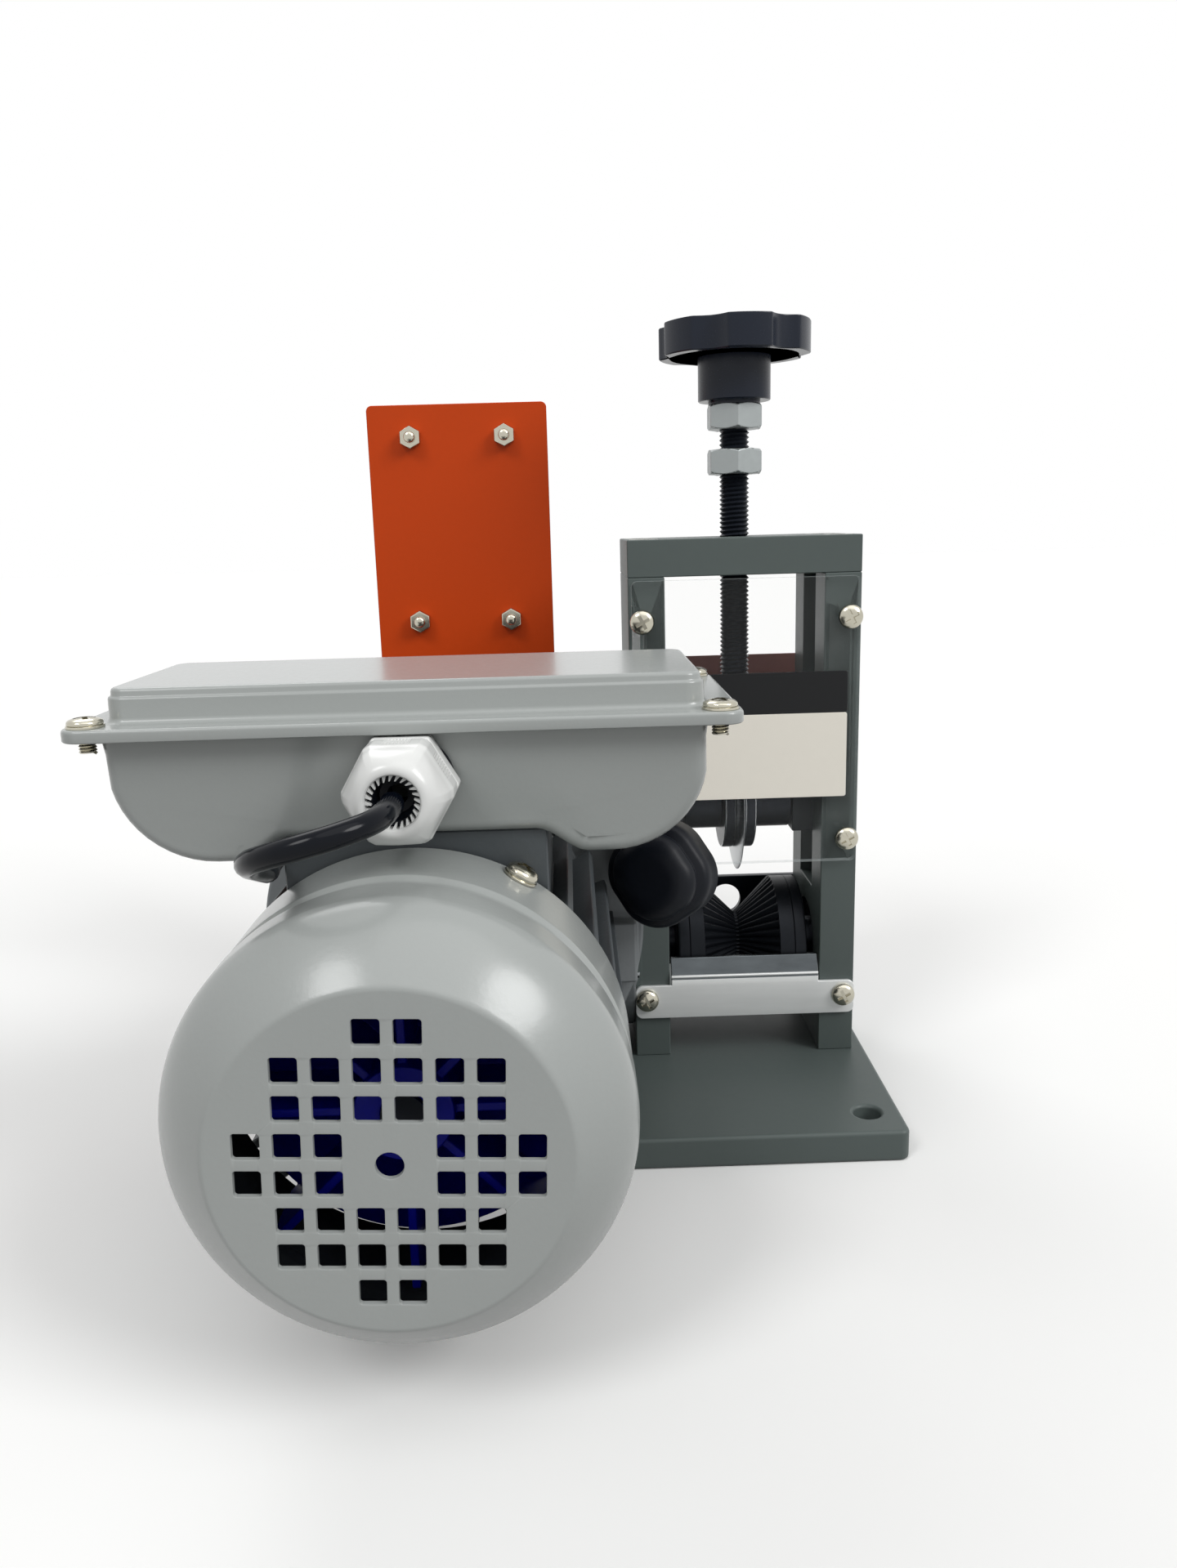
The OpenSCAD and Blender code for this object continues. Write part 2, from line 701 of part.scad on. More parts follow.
// Worm gearbox
module gearbox_housing() {
    color("lightgray") difference() {
        union() {
            push_x(gear_left, gear_right)
                translate([0, (base_t + foot_t + gear_top) / 2])
                    rounded(2 * gear_y, gear_top - base_t - foot_t, 9);
            translate([motor_x, 0, base_t]) linear_extrude(foot_t) rounded(2 * foot_x, 2 * gear_y, 6);
            translate([gear_left, -gear_y, base_t]) cube([2 * box_half, 2 * gear_y, foot_t + 12]);
            rod_y(joint_y, joint_y + gear_flange_t, motor_x, motor_z, flange_d);
            rod_y(joint_y, -gear_y + 1, motor_x, motor_z, motor_neck_d);
        }
        rod_x(gear_left - 1, gear_right + 1, 0, roller_z, wheel_room_d);
        rod_y(input_bearing_y, far_bearing_y, motor_x, motor_z, worm_room_d);
        rod_y(joint_y - 1, input_bearing_y + bearing_w, motor_x, motor_z, input_bearing_d + 2 * fit);
        rod_y(far_bearing_y, gear_y + 1, motor_x, motor_z, far_bearing_d + 2 * fit);
        for (a = [45:90:315]) on_motor(a)
            translate([flange_bolt_r, joint_y - 1, 0]) rotate([-90, 0, 0])
                cylinder(d = bolt_d + 2 * fit, h = gear_flange_t + 2);
        for (sx = [-1, 1], sy = [-1, 1])
            rod_z(base_t - 1, base_t + foot_t + 1, motor_x + sx * foot_bolt_x, sy * foot_bolt_y,
                bolt_d + 2 * fit);
        for (a = [45:90:315]) {
            rod_x(gear_left - 1, gear_left + 8, cover_bolt_r * cos(a), roller_z + cover_bolt_r * sin(a),
                cap_screw_d + 2 * fit);
            rod_x(gear_right - 8, gear_right + 1, cover_bolt_r * cos(a), roller_z + cover_bolt_r * sin(a),
                cap_screw_d + 2 * fit);
        }
        for (sx = [-1, 1])
            rod_z(gear_top - plate_screw_l, gear_top + 1, switch_x + sx * plate_foot_x,
                plate_far - plate_foot_l / 2, cap_screw_d + 2 * fit);
    }
}

// Side cover over the wheel room and end cap behind the worm
module gearbox_covers() {
    color("silver") {
        difference() {
            union() {
                rod_x(gear_left - cover_t, gear_left, 0, roller_z, cover_d);
                rod_x(gear_left, gear_left + spigot_t, 0, roller_z, wheel_room_d - 2 * fit);
            }
            rod_x(gear_left - cover_t + 2, gear_left + spigot_t + 1, 0, roller_z, bearing_d + 2 * fit);
            for (a = [45:90:315])
                rod_x(gear_left - cover_t - 1, gear_left + 1, cover_bolt_r * cos(a),
                    roller_z + cover_bolt_r * sin(a), cap_screw_d + 2 * fit);
        }
        rod_y(gear_y - worm_cap_t, gear_y, motor_x, motor_z, far_bearing_d);
    }
}

// Neck and disc that carry the gearbox's output to the frame
module output_flange() {
    color("silver") difference() {
        union() {
            rod_x(gear_right - spigot_t, gear_right, 0, roller_z, wheel_room_d - 2 * fit);
            rod_x(gear_right, gear_right + 6, 0, roller_z, cover_d);
            rod_x(gear_right, left_out, 0, roller_z, neck_d);
            rod_x(left_out - output_disc_t, left_out, 0, roller_z, output_disc_d);
        }
        rod_x(gear_right - spigot_t - 1, left_out + 1, 0, roller_z, roller_shaft_d + 4);
        rod_x(gear_right - spigot_t - 1, gear_right + output_seat_l, 0, roller_z, bearing_d + 2 * fit);
        for (a = [45:90:315]) {
            rod_x(gear_right - 1, gear_right + 7, cover_bolt_r * cos(a), roller_z + cover_bolt_r * sin(a),
                cap_screw_d + 2 * fit);
            rod_x(left_out - output_disc_t - 1, left_out + 1, output_bolt_r * cos(a),
                roller_z + output_bolt_r * sin(a), cap_screw_d + 2 * fit);
        }
    }
}

module gearbox_screws() {
    color("dimgray") {
        for (a = [45:90:315]) {
            y = cover_bolt_r * cos(a);
            z = roller_z + cover_bolt_r * sin(a);
            translate([gear_left - cover_t, y, z]) rotate([0, -90, 0])
                pan_screw(cap_screw_d, pan_head_d, pan_head_h, cover_t + 6);
            translate([gear_right + 6, y, z]) rotate([0, 90, 0])
                pan_screw(cap_screw_d, pan_head_d, pan_head_h, 12);
            translate([left_out - output_disc_t, output_bolt_r * cos(a), roller_z + output_bolt_r * sin(a)])
                rotate([0, -90, 0]) pan_screw(cap_screw_d, pan_head_d, pan_head_h, output_disc_t + 6);
        }
        for (sx = [-1, 1])
            translate([switch_x + sx * plate_foot_x, plate_far - plate_foot_l / 2, gear_top + switch_plate_t])
                pan_screw(cap_screw_d, pan_head_d, pan_head_h, plate_screw_l);
    }
}

module gearbox_bearings() {
    color("lightsteelblue") {
        ring_y(input_bearing_y, input_bearing_y + bearing_w, motor_x, motor_z, input_bearing_d,
            input_journal_d + 2 * fit);
        ring_y(far_bearing_y, far_bearing_y + far_bearing_w, motor_x, motor_z, far_bearing_d,
            far_journal_d + 2 * fit);
        ring_x(gear_left - cover_t + 2, gear_left - cover_t + 2 + bearing_w, roller_z, bearing_d,
            roller_shaft_d + 2 * fit);
        ring_x(gear_right - spigot_t, gear_right - spigot_t + bearing_w, roller_z, bearing_d,
            roller_shaft_d + 2 * fit);
    }
}

module foot_bolts() {
    color("silver") for (sx = [-1, 1], sy = [-1, 1])
        translate([motor_x + sx * foot_bolt_x, sy * foot_bolt_y, base_t + foot_t]) {
            translate([0, 0, -foot_t - base_t + 1]) cylinder(d = bolt_d, h = foot_t + base_t);
            hexagon(bolt_head_d, 4);
        }
}

// Motor
module motor_flange() {
    flange_y = joint_y - flange_t;
    color("silver") difference() {
        union() {
            rod_y(flange_y, joint_y, motor_x, motor_z, flange_d);
            rod_y(body_front, flange_y, motor_x, motor_z, shell_d);
            rod_y(body_front - 6, body_front, motor_x, motor_z, bore_d - 2 * fit);
            translate([motor_x + shell_d / 2 + 2, flange_y - lug_l, motor_z - lug_drop])
                cube([lug_w, lug_l + 1, lug_h]);
        }
        rod_y(body_front - 7, body_front - 0.5, motor_x, motor_z, bore_d - 8);
        rod_y(body_front - 7, front_bearing_y + front_bearing_w, motor_x, motor_z, front_bearing_d + 2 * fit);
        rod_y(body_front - 7, joint_y + 1, motor_x, motor_z, front_journal_d + 3);
        for (a = [45:90:315]) on_motor(a)
            translate([flange_bolt_r, flange_y - 1, 0]) rotate([-90, 0, 0])
                cylinder(d = bolt_d + 2 * fit, h = flange_t + 2);
    }
}

module flange_bolts() {
    color("silver") for (a = [45:90:315]) on_motor(a) translate([flange_bolt_r, 0, 0]) rotate([-90, 0, 0]) {
        translate([0, 0, joint_y - flange_t - 4]) hexagon(bolt_head_d, 4);
        translate([0, 0, joint_y - flange_t - 0.1]) cylinder(d = bolt_d, h = flange_t + gear_flange_t + 8);
        difference() {
            translate([0, 0, joint_y + gear_flange_t]) hexagon(bolt_head_d, 5);
            translate([0, 0, joint_y + gear_flange_t - 1]) cylinder(d = bolt_d + 2 * fit, h = 7);
        }
    }
}

// Shell outline with straight radial fins
function fin_points() = [
    for (i = [0:fin_count - 1])
        let (a = 360 * (i + 0.5) / fin_count, s = asin(fin_t / shell_d), f = asin(fin_t / fin_d))
    each [
        shell_d / 2 * [cos(a - s), sin(a - s)], fin_d / 2 * [cos(a - f), sin(a - f)],
        fin_d / 2 * [cos(a + f), sin(a + f)], shell_d / 2 * [cos(a + s), sin(a + s)]
    ]
];

module motor_body() {
    color("lightgray") difference() {
        union() {
            push_y(body_rear, body_front) translate([motor_x, motor_z]) polygon(fin_points());
            translate([box_x - pad_w / 2, body_rear, motor_z])
                cube([pad_w, pad_far - body_rear, box_floor - motor_z]);
        }
        rod_y(body_rear - 1, body_front + 1, motor_x, motor_z, bore_d);
    }
}

module rear_end_shield() {
    color("silver") difference() {
        union() {
            rod_y(shield_rear, body_rear, motor_x, motor_z, shell_d);
            rod_y(body_rear, body_rear + 5, motor_x, motor_z, bore_d - 2 * fit);
            for (a = cover_screw_angles) on_motor(a) translate([0, cover_screw_y, 0]) rotate([0, 90, 0])
                translate([0, 0, shell_d / 2 - cover_boss_in])
                    cylinder(d = cover_boss_d, h = (cover_skirt_d - shell_d) / 2 - 2 + cover_boss_in);
        }
        rod_y(body_rear + 0.5, body_rear + 6, motor_x, motor_z, bore_d - 8);
        rod_y(rear_bearing_y, body_rear + 6, motor_x, motor_z, rear_bearing_d + 2 * fit);
        rod_y(shield_rear - 6, body_rear + 6, motor_x, motor_z, rear_journal_d + 2);
        for (a = cover_screw_angles) on_motor(a) translate([0, cover_screw_y, 0]) rotate([0, 90, 0])
            translate([0, 0, cover_skirt_d / 2 - 10.5]) cylinder(d = pan_d + 2 * fit, h = 12);
    }
}

module stator_core() {
    color("slategray") ring_y(stator_rear, stator_front, motor_x, motor_z, bore_d - 2 * fit, stator_bore_d);
}

module stator_windings() {
    color("peru") {
        ring_y(stator_rear - winding_l, stator_rear, motor_x, motor_z, bore_d - 6, stator_bore_d + 4);
        ring_y(stator_front, stator_front + winding_l, motor_x, motor_z, bore_d - 6, stator_bore_d + 4);
    }
}

module motor_bearings() {
    color("lightsteelblue") {
        ring_y(front_bearing_y, front_bearing_y + front_bearing_w, motor_x, motor_z, front_bearing_d,
            front_journal_d + 2 * fit);
        ring_y(rear_bearing_y, rear_bearing_y + rear_bearing_w, motor_x, motor_z, rear_bearing_d,
            rear_journal_d + 2 * fit);
    }
}

// Fan cover: half outline of the shell, inset by a distance from its outside
function cover_outline(inset) = [
    [cover_skirt_d / 2 - inset, cover_open_y], [cover_skirt_d / 2 - inset, -165],
    [cover_skirt_d / 2 - 1 - inset, -166.5], [cover_skirt_d / 2 - 1 - inset, -168.5],
    [fan_cover_d / 2 - inset, -170.5],
    for (a = [0:15:90]) [
        cover_face_r + (fan_cover_d / 2 - cover_face_r - inset) * cos(a),
        cover_turn_y - (cover_turn_y - cover_face_y - inset) * sin(a)
    ]
];

// Rows of cooling slots: first and last slot of each run, counted from the left
vent_rows = [
    [[3, 4]], [[1, 6]], [[1, 6]], [[0, 2], [5, 7]], [[0, 2], [5, 7]], [[1, 6]], [[1, 6]], [[3, 4]]
];

module fan_cover() {
    color("lightgray") difference() {
        translate([motor_x, 0, motor_z]) rotate([-90, 0, 0]) difference() {
            rotate_extrude($fn = 96)
                polygon(concat(cover_outline(0), [[0, cover_face_y], [0, cover_open_y]]));
            rotate_extrude($fn = 96) polygon(concat(
                [[0, cover_open_y + 1], [cover_skirt_d / 2 - fan_cover_wall, cover_open_y + 1]],
                cover_outline(fan_cover_wall), [[0, cover_face_y + fan_cover_wall]]
            ));
        }
        translate([motor_x, cover_face_y, motor_z]) rotate([0, vent_turn, 0])
            for (row = [0:7], run = vent_rows[row], col = [run[0]:run[1]])
                translate([(col - 3.5) * vent_pitch, 0, (3.5 - row) * vent_pitch])
                    cube([vent_w, 3 * fan_cover_wall, vent_w], center = true);
        rod_y(cover_face_y - 1, cover_face_y + 3, motor_x, motor_z, 5.8);
        for (a = cover_screw_angles) on_motor(a) translate([0, cover_screw_y, 0]) rotate([0, 90, 0])
            cylinder(d = pan_d + 2 * fit, h = fan_cover_d);
    }
}

module fan_cover_screws() {
    color("silver") for (a = cover_screw_angles)
        on_motor(a) translate([0, cover_screw_y, 0]) rotate([0, 90, 0]) translate([0, 0, cover_skirt_d / 2]) {
            cylinder(d = washer_d, h = washer_t);
            translate([0, 0, washer_t]) pan_screw(pan_d, pan_head_d, pan_head_h, pan_len);
        }
}

// Terminal box: outline seen along Y, inset by a wall
module box_outline(inset) {
    half = box_w / 2 - inset;
    step_x = lobe_flat + lobe_slope - inset / 3;
    intersection() {
        union() {
            translate([box_x - half, lobe_low + lobe_r]) square([2 * half, lobe_r]);
            translate([box_x - lobe_x, box_floor + inset]) square([2 * lobe_x, lobe_r]);
            for (sx = [-1, 1]) translate([box_x + sx * lobe_x, lobe_low + lobe_r]) {
                circle(lobe_r - inset);
                polygon([
                    [0, inset - lobe_r], [-sx * (step_x - lobe_slope), inset - lobe_r],
                    [-sx * step_x, lobe_drop + inset - lobe_r], [-sx * step_x, 0], [0, 0]
                ]);
            }
        }
        translate([box_x - half, lobe_low]) square([2 * half, box_rim_z - lobe_low + inset]);
    }
}

module terminal_box() {
    color("lightgray") difference() {
        union() {
            push_y(box_near, box_far) box_outline(0);
            translate([box_x, box_y, box_rim_z]) linear_extrude(box_rim_t) rounded(lid_w, lid_l, 5);
        }
        push_y(box_near + box_wall, box_far - box_wall) box_outline(box_wall);
        translate([box_x, box_y, box_rim_z - 1])
            linear_extrude(box_rim_t + 2) rounded(box_w - 2 * box_wall, box_l - 2 * box_wall, 3);
        rod_y(box_near - 1, box_near + box_wall + 1, gland_x, gland_z, gland_thread_d + 2 * fit);
        rod_y(box_far - box_wall - 1, box_far + 1, switch_x, cable_z, 2 * cable_r + 0.6);
        lid_holes(box_rim_z - 1, box_rim_t + 2);
    }
}

module lid_holes(z, h) {
    for (sx = [-1, 1], sy = [-1, 1])
        translate([box_x + sx * lid_screw_x, box_y + sy * lid_screw_y, z]) cylinder(d = lid_hole_d, h = h);
}

// A layer of the lid's raised top, set in from the rim's edge
module lid_layer(z, h, inset) {
    translate([box_x, box_y, z]) linear_extrude(h)
        rounded(lid_w - 2 * inset, lid_l - 2 * inset, lid_corner_r + lid_step - inset);
}

module box_lid() {
    color("lightgray") difference() {
        union() {
            translate([box_x, box_y, lid_z]) linear_extrude(lid_rim_t) rounded(lid_w, lid_l, 5);
            lid_layer(lid_z, lid_rim_t + lid_rise - 2, lid_step);
            lid_layer(lid_z, lid_rim_t + lid_rise, lid_step + lid_bead);
        }
        lid_layer(lid_z - 1, lid_rim_t + lid_rise - lid_wall + 1, lid_step + lid_bead + lid_wall);
        lid_holes(lid_z - 1, 10);
    }
}

module lid_screws() {
    color("silver") for (sx = [-1, 1], sy = [-1, 1])
        translate([box_x + sx * lid_screw_x, box_y + sy * lid_screw_y, lid_z + lid_rim_t]) {
            cylinder(d = washer_d, h = washer_t);
            translate([0, 0, washer_t]) pan_screw(pan_d, pan_head_d, lid_head_h, lid_screw_l);
        }
}

// Start and run capacitors in the box's two lobes
module capacitors() {
    color("#2c2f33") for (sx = [-1, 1])
        rod_y(box_y - capacitor_l / 2, box_y + capacitor_l / 2, box_x + sx * lobe_x,
            lobe_low + box_wall + capacitor_d / 2 + fit, capacitor_d);
}

// Cable gland on the box's near wall
module gland_body() {
    color("white") difference() {
        union() {
            translate([gland_x, box_near, gland_z]) rotate([90, 0, 0]) hexagon(gland_af, gland_flange_t);
            rod_y(box_near, box_near + box_wall + 8, gland_x, gland_z, gland_thread_d);
        }
        rod_y(box_near - 10, box_near + 20, gland_x, gland_z, gland_mouth_d - 2);
    }
}

module gland_nut() {
    back = box_near - gland_flange_t;
    color("white") difference() {
        union() {
            translate([gland_x, back, gland_z]) rotate([90, 0, 0]) hexagon(gland_af, 9);
            translate([gland_x, back - 8.9, gland_z]) rotate([90, 0, 0]) rotate_extrude() polygon([
                [0, 0], [gland_af / 2, 0],
                for (a = [0:18:72])
                    [gland_mouth_d / 2 + (gland_af - gland_mouth_d) / 2 * cos(a), 7.1 * sin(a)],
                [gland_mouth_d / 2 + 1, gland_nut_l - 8.9], [0, gland_nut_l - 8.9]
            ]);
        }
        rod_y(gland_face - 1, back + 1, gland_x, gland_z, gland_mouth_d);
    }
}

module gland_seal() {
    color("#202124") difference() {
        rod_y(gland_face, box_near - gland_flange_t, gland_x, gland_z, gland_mouth_d - 2 * fit);
        rod_y(gland_face - 1, gland_face + 5, gland_x, gland_z, gland_mouth_d - 2.4);
        rod_y(gland_face - 1, box_near, gland_x, gland_z, cord_d - 1);
    }
}

// Switch on its upright plate
module switch_plate() {
    color("orangered") difference() {
        union() {
            push_y(plate_near, plate_far)
                translate([switch_x, (gear_top + switch_plate_top) / 2])
                    rounded(switch_plate_w, switch_plate_top - gear_top, 2);
            translate([switch_x - switch_plate_w / 2 + 6, plate_far - plate_foot_l, gear_top])
                cube([switch_plate_w - 12, plate_foot_l, switch_plate_t]);
        }
        switch_holes(plate_near - 1, plate_far + 1);
        rod_y(plate_near - 1, plate_far + 1, switch_x, cable_z, 2 * cable_r + 0.6);
        for (sx = [-1, 1])
            rod_z(gear_top - 1, gear_top + switch_plate_t + 1, switch_x + sx * plate_foot_x,
                plate_far - plate_foot_l / 2, cap_screw_d + 2 * fit);
    }
}

module switch_holes(y0, y1) {
    for (sx = [-1, 1], z = [switch_screw_low, switch_screw_top])
        rod_y(y0, y1, switch_x + sx * switch_hole_w / 2, z, pan_d + 2 * fit);
}

module switch_screws() {
    color("silver") for (sx = [-1, 1], z = [switch_screw_low, switch_screw_top])
        translate([switch_x + sx * switch_hole_w / 2, plate_near, z]) rotate([90, 0, 0]) {
            translate([0, 0, -switch_plate_t - switch_thread_l])
                cylinder(d = pan_d, h = switch_plate_t + switch_thread_l + switch_nut_t + 2.5);
            difference() {
                hexagon(switch_nut_af, switch_nut_t);
                translate([0, 0, -1]) cylinder(d = pan_d + 2 * fit, h = switch_nut_t + 2);
            }
        }
}

module switch_housing() {
    color("#2b2d30") difference() {
        union() {
            difference() {
                push_y(plate_far, switch_face)
                    translate([switch_x, switch_mid]) rounded(switch_w, switch_h, 5);
                push_y(plate_far - 1, switch_face - switch_wall)
                    translate([switch_x, switch_mid])
                        rounded(switch_w - 2 * switch_wall, switch_h - 2 * switch_wall, 3);
            }
            for (sx = [-1, 1], z = [switch_screw_low, switch_screw_top])
                rod_y(plate_far, switch_face - 1, switch_x + sx * switch_hole_w / 2, z, switch_boss_d);
        }
        switch_holes(plate_far - 1, plate_far + switch_thread_l + 1);
        for (s = [-1, 1])
            rod_y(switch_face - switch_wall - 1, switch_face + 1, switch_x, switch_mid + s * button_rise,
                button_d + 2 * slide_gap);
    }
}

module switch_cable() {
    color("#202124") tube(cable_points, cable_r, cord_sides);
}

// A push button with the collar that keeps it in the housing
module push_button(z) {
    rod_y(switch_face + button_out - button_len, switch_face + button_out, switch_x, z, button_d);
    rod_y(switch_face - switch_wall - 2.3, switch_face - switch_wall - 0.3, switch_x, z, button_d + 3);
}

module start_button() {
    color("forestgreen") push_button(switch_mid + button_rise);
}

module stop_button() {
    color("crimson") push_button(switch_mid - button_rise);
}

// Power cord
module cord_lead() {
    color("#1b1c1e") tube(lead_points, cord_d / 2, cord_sides);
}

module cord_coil() {
    color("#1b1c1e") tube(coil_points, cord_d / 2, coil_sides);
}

module cord_tail() {
    color("#1b1c1e") tube(tail_points, cord_d / 2, cord_sides);
}

// Flat strap closed round the coil's turns
module coil_tie() {
    inner_low = coil_r - coil_pitch * coil_turns / 2 - cord_d / 2 - 1.5;
    inner_high = coil_r + cord_d / 2 + 0.4;
    floor_z = coil_low - cord_d / 2 - 0.2;
    top_z = coil_low + coil_pitch + cord_d / 2 + 0.4;
    color("#3a3c40") push_x(coil_pos[0] - tie_w / 2, coil_pos[0] + tie_w / 2) difference() {
        translate([coil_pos[1] + inner_low - tie_t, floor_z - tie_t])
            square([inner_high - inner_low + 2 * tie_t, top_z - floor_z + 2 * tie_t]);
        translate([coil_pos[1] + inner_low, floor_z]) square([inner_high - inner_low, top_z - floor_z]);
    }
}

// Turns local Z onto a direction
module along(v) {
    rotate([0, acos(v[2] / norm(v)), atan2(v[1], v[0])]) children();
}

module plug_body() {
    color("#1b1c1e") translate(plug_pos) {
        along(plug_axis) rotate_extrude() polygon([
            [0, -plug_t / 2 - 9], [7, -plug_t / 2 - 9], [10.5, -plug_t / 2 - 7.5], [12, -plug_t / 2 - 5],
            [12, -plug_t / 2 - 1], [plug_d / 2 - 3, -plug_t / 2], [plug_d / 2 - 0.8, -plug_t / 2 + 1.5],
            [plug_d / 2, -plug_t / 2 + 4], [plug_d / 2, plug_t / 2 - 1], [plug_d / 2 - 1, plug_t / 2],
            [0, plug_t / 2]
        ]);
        along(plug_up) translate([0, 0, plug_d / 2 - 4]) cylinder(d1 = 11, d2 = cord_d + 2, h = relief_l + 4);
    }
}

module plug_pins() {
    across = unit(cross(plug_axis, plug_up));
    color("silver") for (s = [-1, 1])
        translate(plug_pos + unit(plug_axis) * plug_t / 2 + s * pin_gap / 2 * unit(cross(across, plug_axis)))
            along(plug_axis) {
                cylinder(d = pin_d, h = pin_l - 2);
                translate([0, 0, pin_l - 2]) cylinder(d1 = pin_d, d2 = pin_d - 2, h = 2);
            }
}

// Cutting head
module blade_carriage() {
    left_tongue = left_in - groove_depth + slide_gap;
    right_tongue = right_in + groove_depth - slide_gap;
    color("dimgray") difference() {
        union() {
            translate([left_tongue, -leg_w / 2, leg_low])
                cube([left_in + leg_in - left_tongue, leg_w, bridge_top - leg_low]);
            translate([right_in - leg_in, -leg_w / 2, leg_low])
                cube([right_tongue - right_in + leg_in, leg_w, bridge_top - leg_low]);
            translate([left_tongue, -leg_w / 2, bridge_low])
                cube([right_tongue - left_tongue, leg_w, bridge_t]);
        }
        for (x = [left_in + leg_in - blade_bearing_w, right_in - leg_in - 1])
            rod_x(x, x + blade_bearing_w + 1, 0, blade_z, blade_bearing_d + 2 * fit);
        rod_x(left_in - 1, right_in + 1, 0, blade_z, blade_shaft_d + 1);
        translate([frame_x, 0, button_low - slide_gap])
            cylinder(d = screw_button_d + 2 * slide_gap, h = button_t + 2 * slide_gap);
        translate([frame_x - screw_button_d / 2 - slide_gap, -leg_w, button_low - slide_gap])
            cube([screw_button_d + 2 * slide_gap, leg_w, button_t + 2 * slide_gap]);
        rod_z(button_low, bridge_top + 1, frame_x, 0, screw_d + 2 * slide_gap);
        translate([frame_x - screw_d / 2 - slide_gap, -leg_w, button_low])
            cube([screw_d + 2 * slide_gap, leg_w, bridge_t]);
    }
}

module blade_bearings() {
    color("lightsteelblue") {
        ring_x(left_in + leg_in - blade_bearing_w, left_in + leg_in, blade_z, blade_bearing_d,
            blade_shaft_d + 2 * fit);
        ring_x(right_in - leg_in, right_in - leg_in + blade_bearing_w, blade_z, blade_bearing_d,
            blade_shaft_d + 2 * fit);
    }
}

module feed_screw() {
    color("#1f2023") {
        translate([frame_x, 0, button_low]) cylinder(d = screw_button_d, h = button_t);
        rod_z(button_low, knob_z + 5, frame_x, 0, screw_d);
    }
}

// Star knob: a round rim with scalloped hollows and a hub below
module star_knob() {
    color("#1b1c1e") translate([frame_x, 0, 0]) difference() {
        union() {
            translate([0, 0, knob_z]) cylinder(d = knob_d, h = knob_t);
            translate([0, 0, hub_z]) cylinder(d = knob_hub_d, h = knob_hub_l + 1);
        }
        for (i = [0:knob_lobes - 1]) rotate([0, 0, 360 * i / knob_lobes + knob_turn])
            translate([(knob_d + knob_hollow_d) / 2 - knob_hollow_in, 0, knob_z - 1])
                cylinder(d = knob_hollow_d, h = knob_t + 2);
        translate([0, 0, hub_z - 1]) cylinder(d = screw_d + 2 * fit, h = knob_hub_l + 6.5);
    }
}

module screw_nuts() {
    color("gainsboro") for (z = [lock_nut_z, jam_nut_z]) translate([frame_x, 0, z]) difference() {
        intersection() {
            rotate([0, 0, 30]) hexagon(nut_af, nut_t);
            rotate_extrude() polygon([
                [0, 0], [nut_af / 2, 0], [nut_af / 2 + 1.4, 0.9], [nut_af / 2 + 1.4, nut_t - 0.9],
                [nut_af / 2, nut_t], [0, nut_t]
            ]);
        }
        translate([0, 0, -1]) cylinder(d = screw_d + 2 * fit, h = nut_t + 2);
    }
}

module blade_shaft() {
    reach = leg_in - blade_bearing_w;
    color("#3a3c40") rod_x(left_in + reach, right_in - reach, 0, blade_z, blade_shaft_d);
}

module blade_disc() {
    color("lightgray") translate([frame_x, 0, blade_z]) rotate([0, 90, 0]) difference() {
        rotate_extrude($fn = 96) polygon([
            [0, -blade_t / 2], [blade_d / 2 - blade_bevel, -blade_t / 2], [blade_d / 2, -0.1],
            [blade_d / 2, 0.1], [blade_d / 2 - blade_bevel, blade_t / 2], [0, blade_t / 2]
        ]);
        translate([0, 0, -5]) cylinder(d = blade_shaft_d + 2 * fit, h = 10);
    }
}

// Clamp flanges beside the blade, each with its spacer sleeve out to the bearing
module blade_flanges() {
    color("silver") {
        flange_stack(frame_x - blade_t / 2 - blade_flange_t, left_in + leg_in + slide_gap,
            frame_x - blade_t / 2);
        flange_stack(frame_x + blade_t / 2, frame_x + blade_t / 2, right_in - leg_in - slide_gap);
    }
}

module flange_stack(flange_at, from, to) {
    difference() {
        union() {
            rod_x(flange_at, flange_at + blade_flange_t, 0, blade_z, blade_flange_d);
            rod_x(from, to, 0, blade_z, spacer_d);
        }
        rod_x(from - 1, to + 1, 0, blade_z, blade_shaft_d + 2 * fit);
    }
}

// Feed roller and drive
module feed_roller() {
    roller_len = right_in - left_in - 2 * roller_gap;
    half = roller_len / 2;
    color("#2a2b2e") translate([frame_x, 0, roller_z]) rotate([0, 90, 0]) difference() {
        rotate_extrude($fn = 96) polygon([
            [0, -half], [roller_d / 2 - 1, -half], [roller_d / 2, 1 - half], [roller_d / 2, -roller_v],
            [roller_d / 2 - roller_v, 0], [roller_d / 2, roller_v], [roller_d / 2, half - 1],
            [roller_d / 2 - 1, half], [0, half]
        ]);
        translate([0, 0, -half - 1]) cylinder(d = roller_shaft_d + 2 * fit, h = roller_len + 2);
    }
}

module roller_shaft() {
    color("silver") rod_x(gear_left - cover_t + 2.5, right_in + bearing_w - 0.5, 0, roller_z, roller_shaft_d);
}

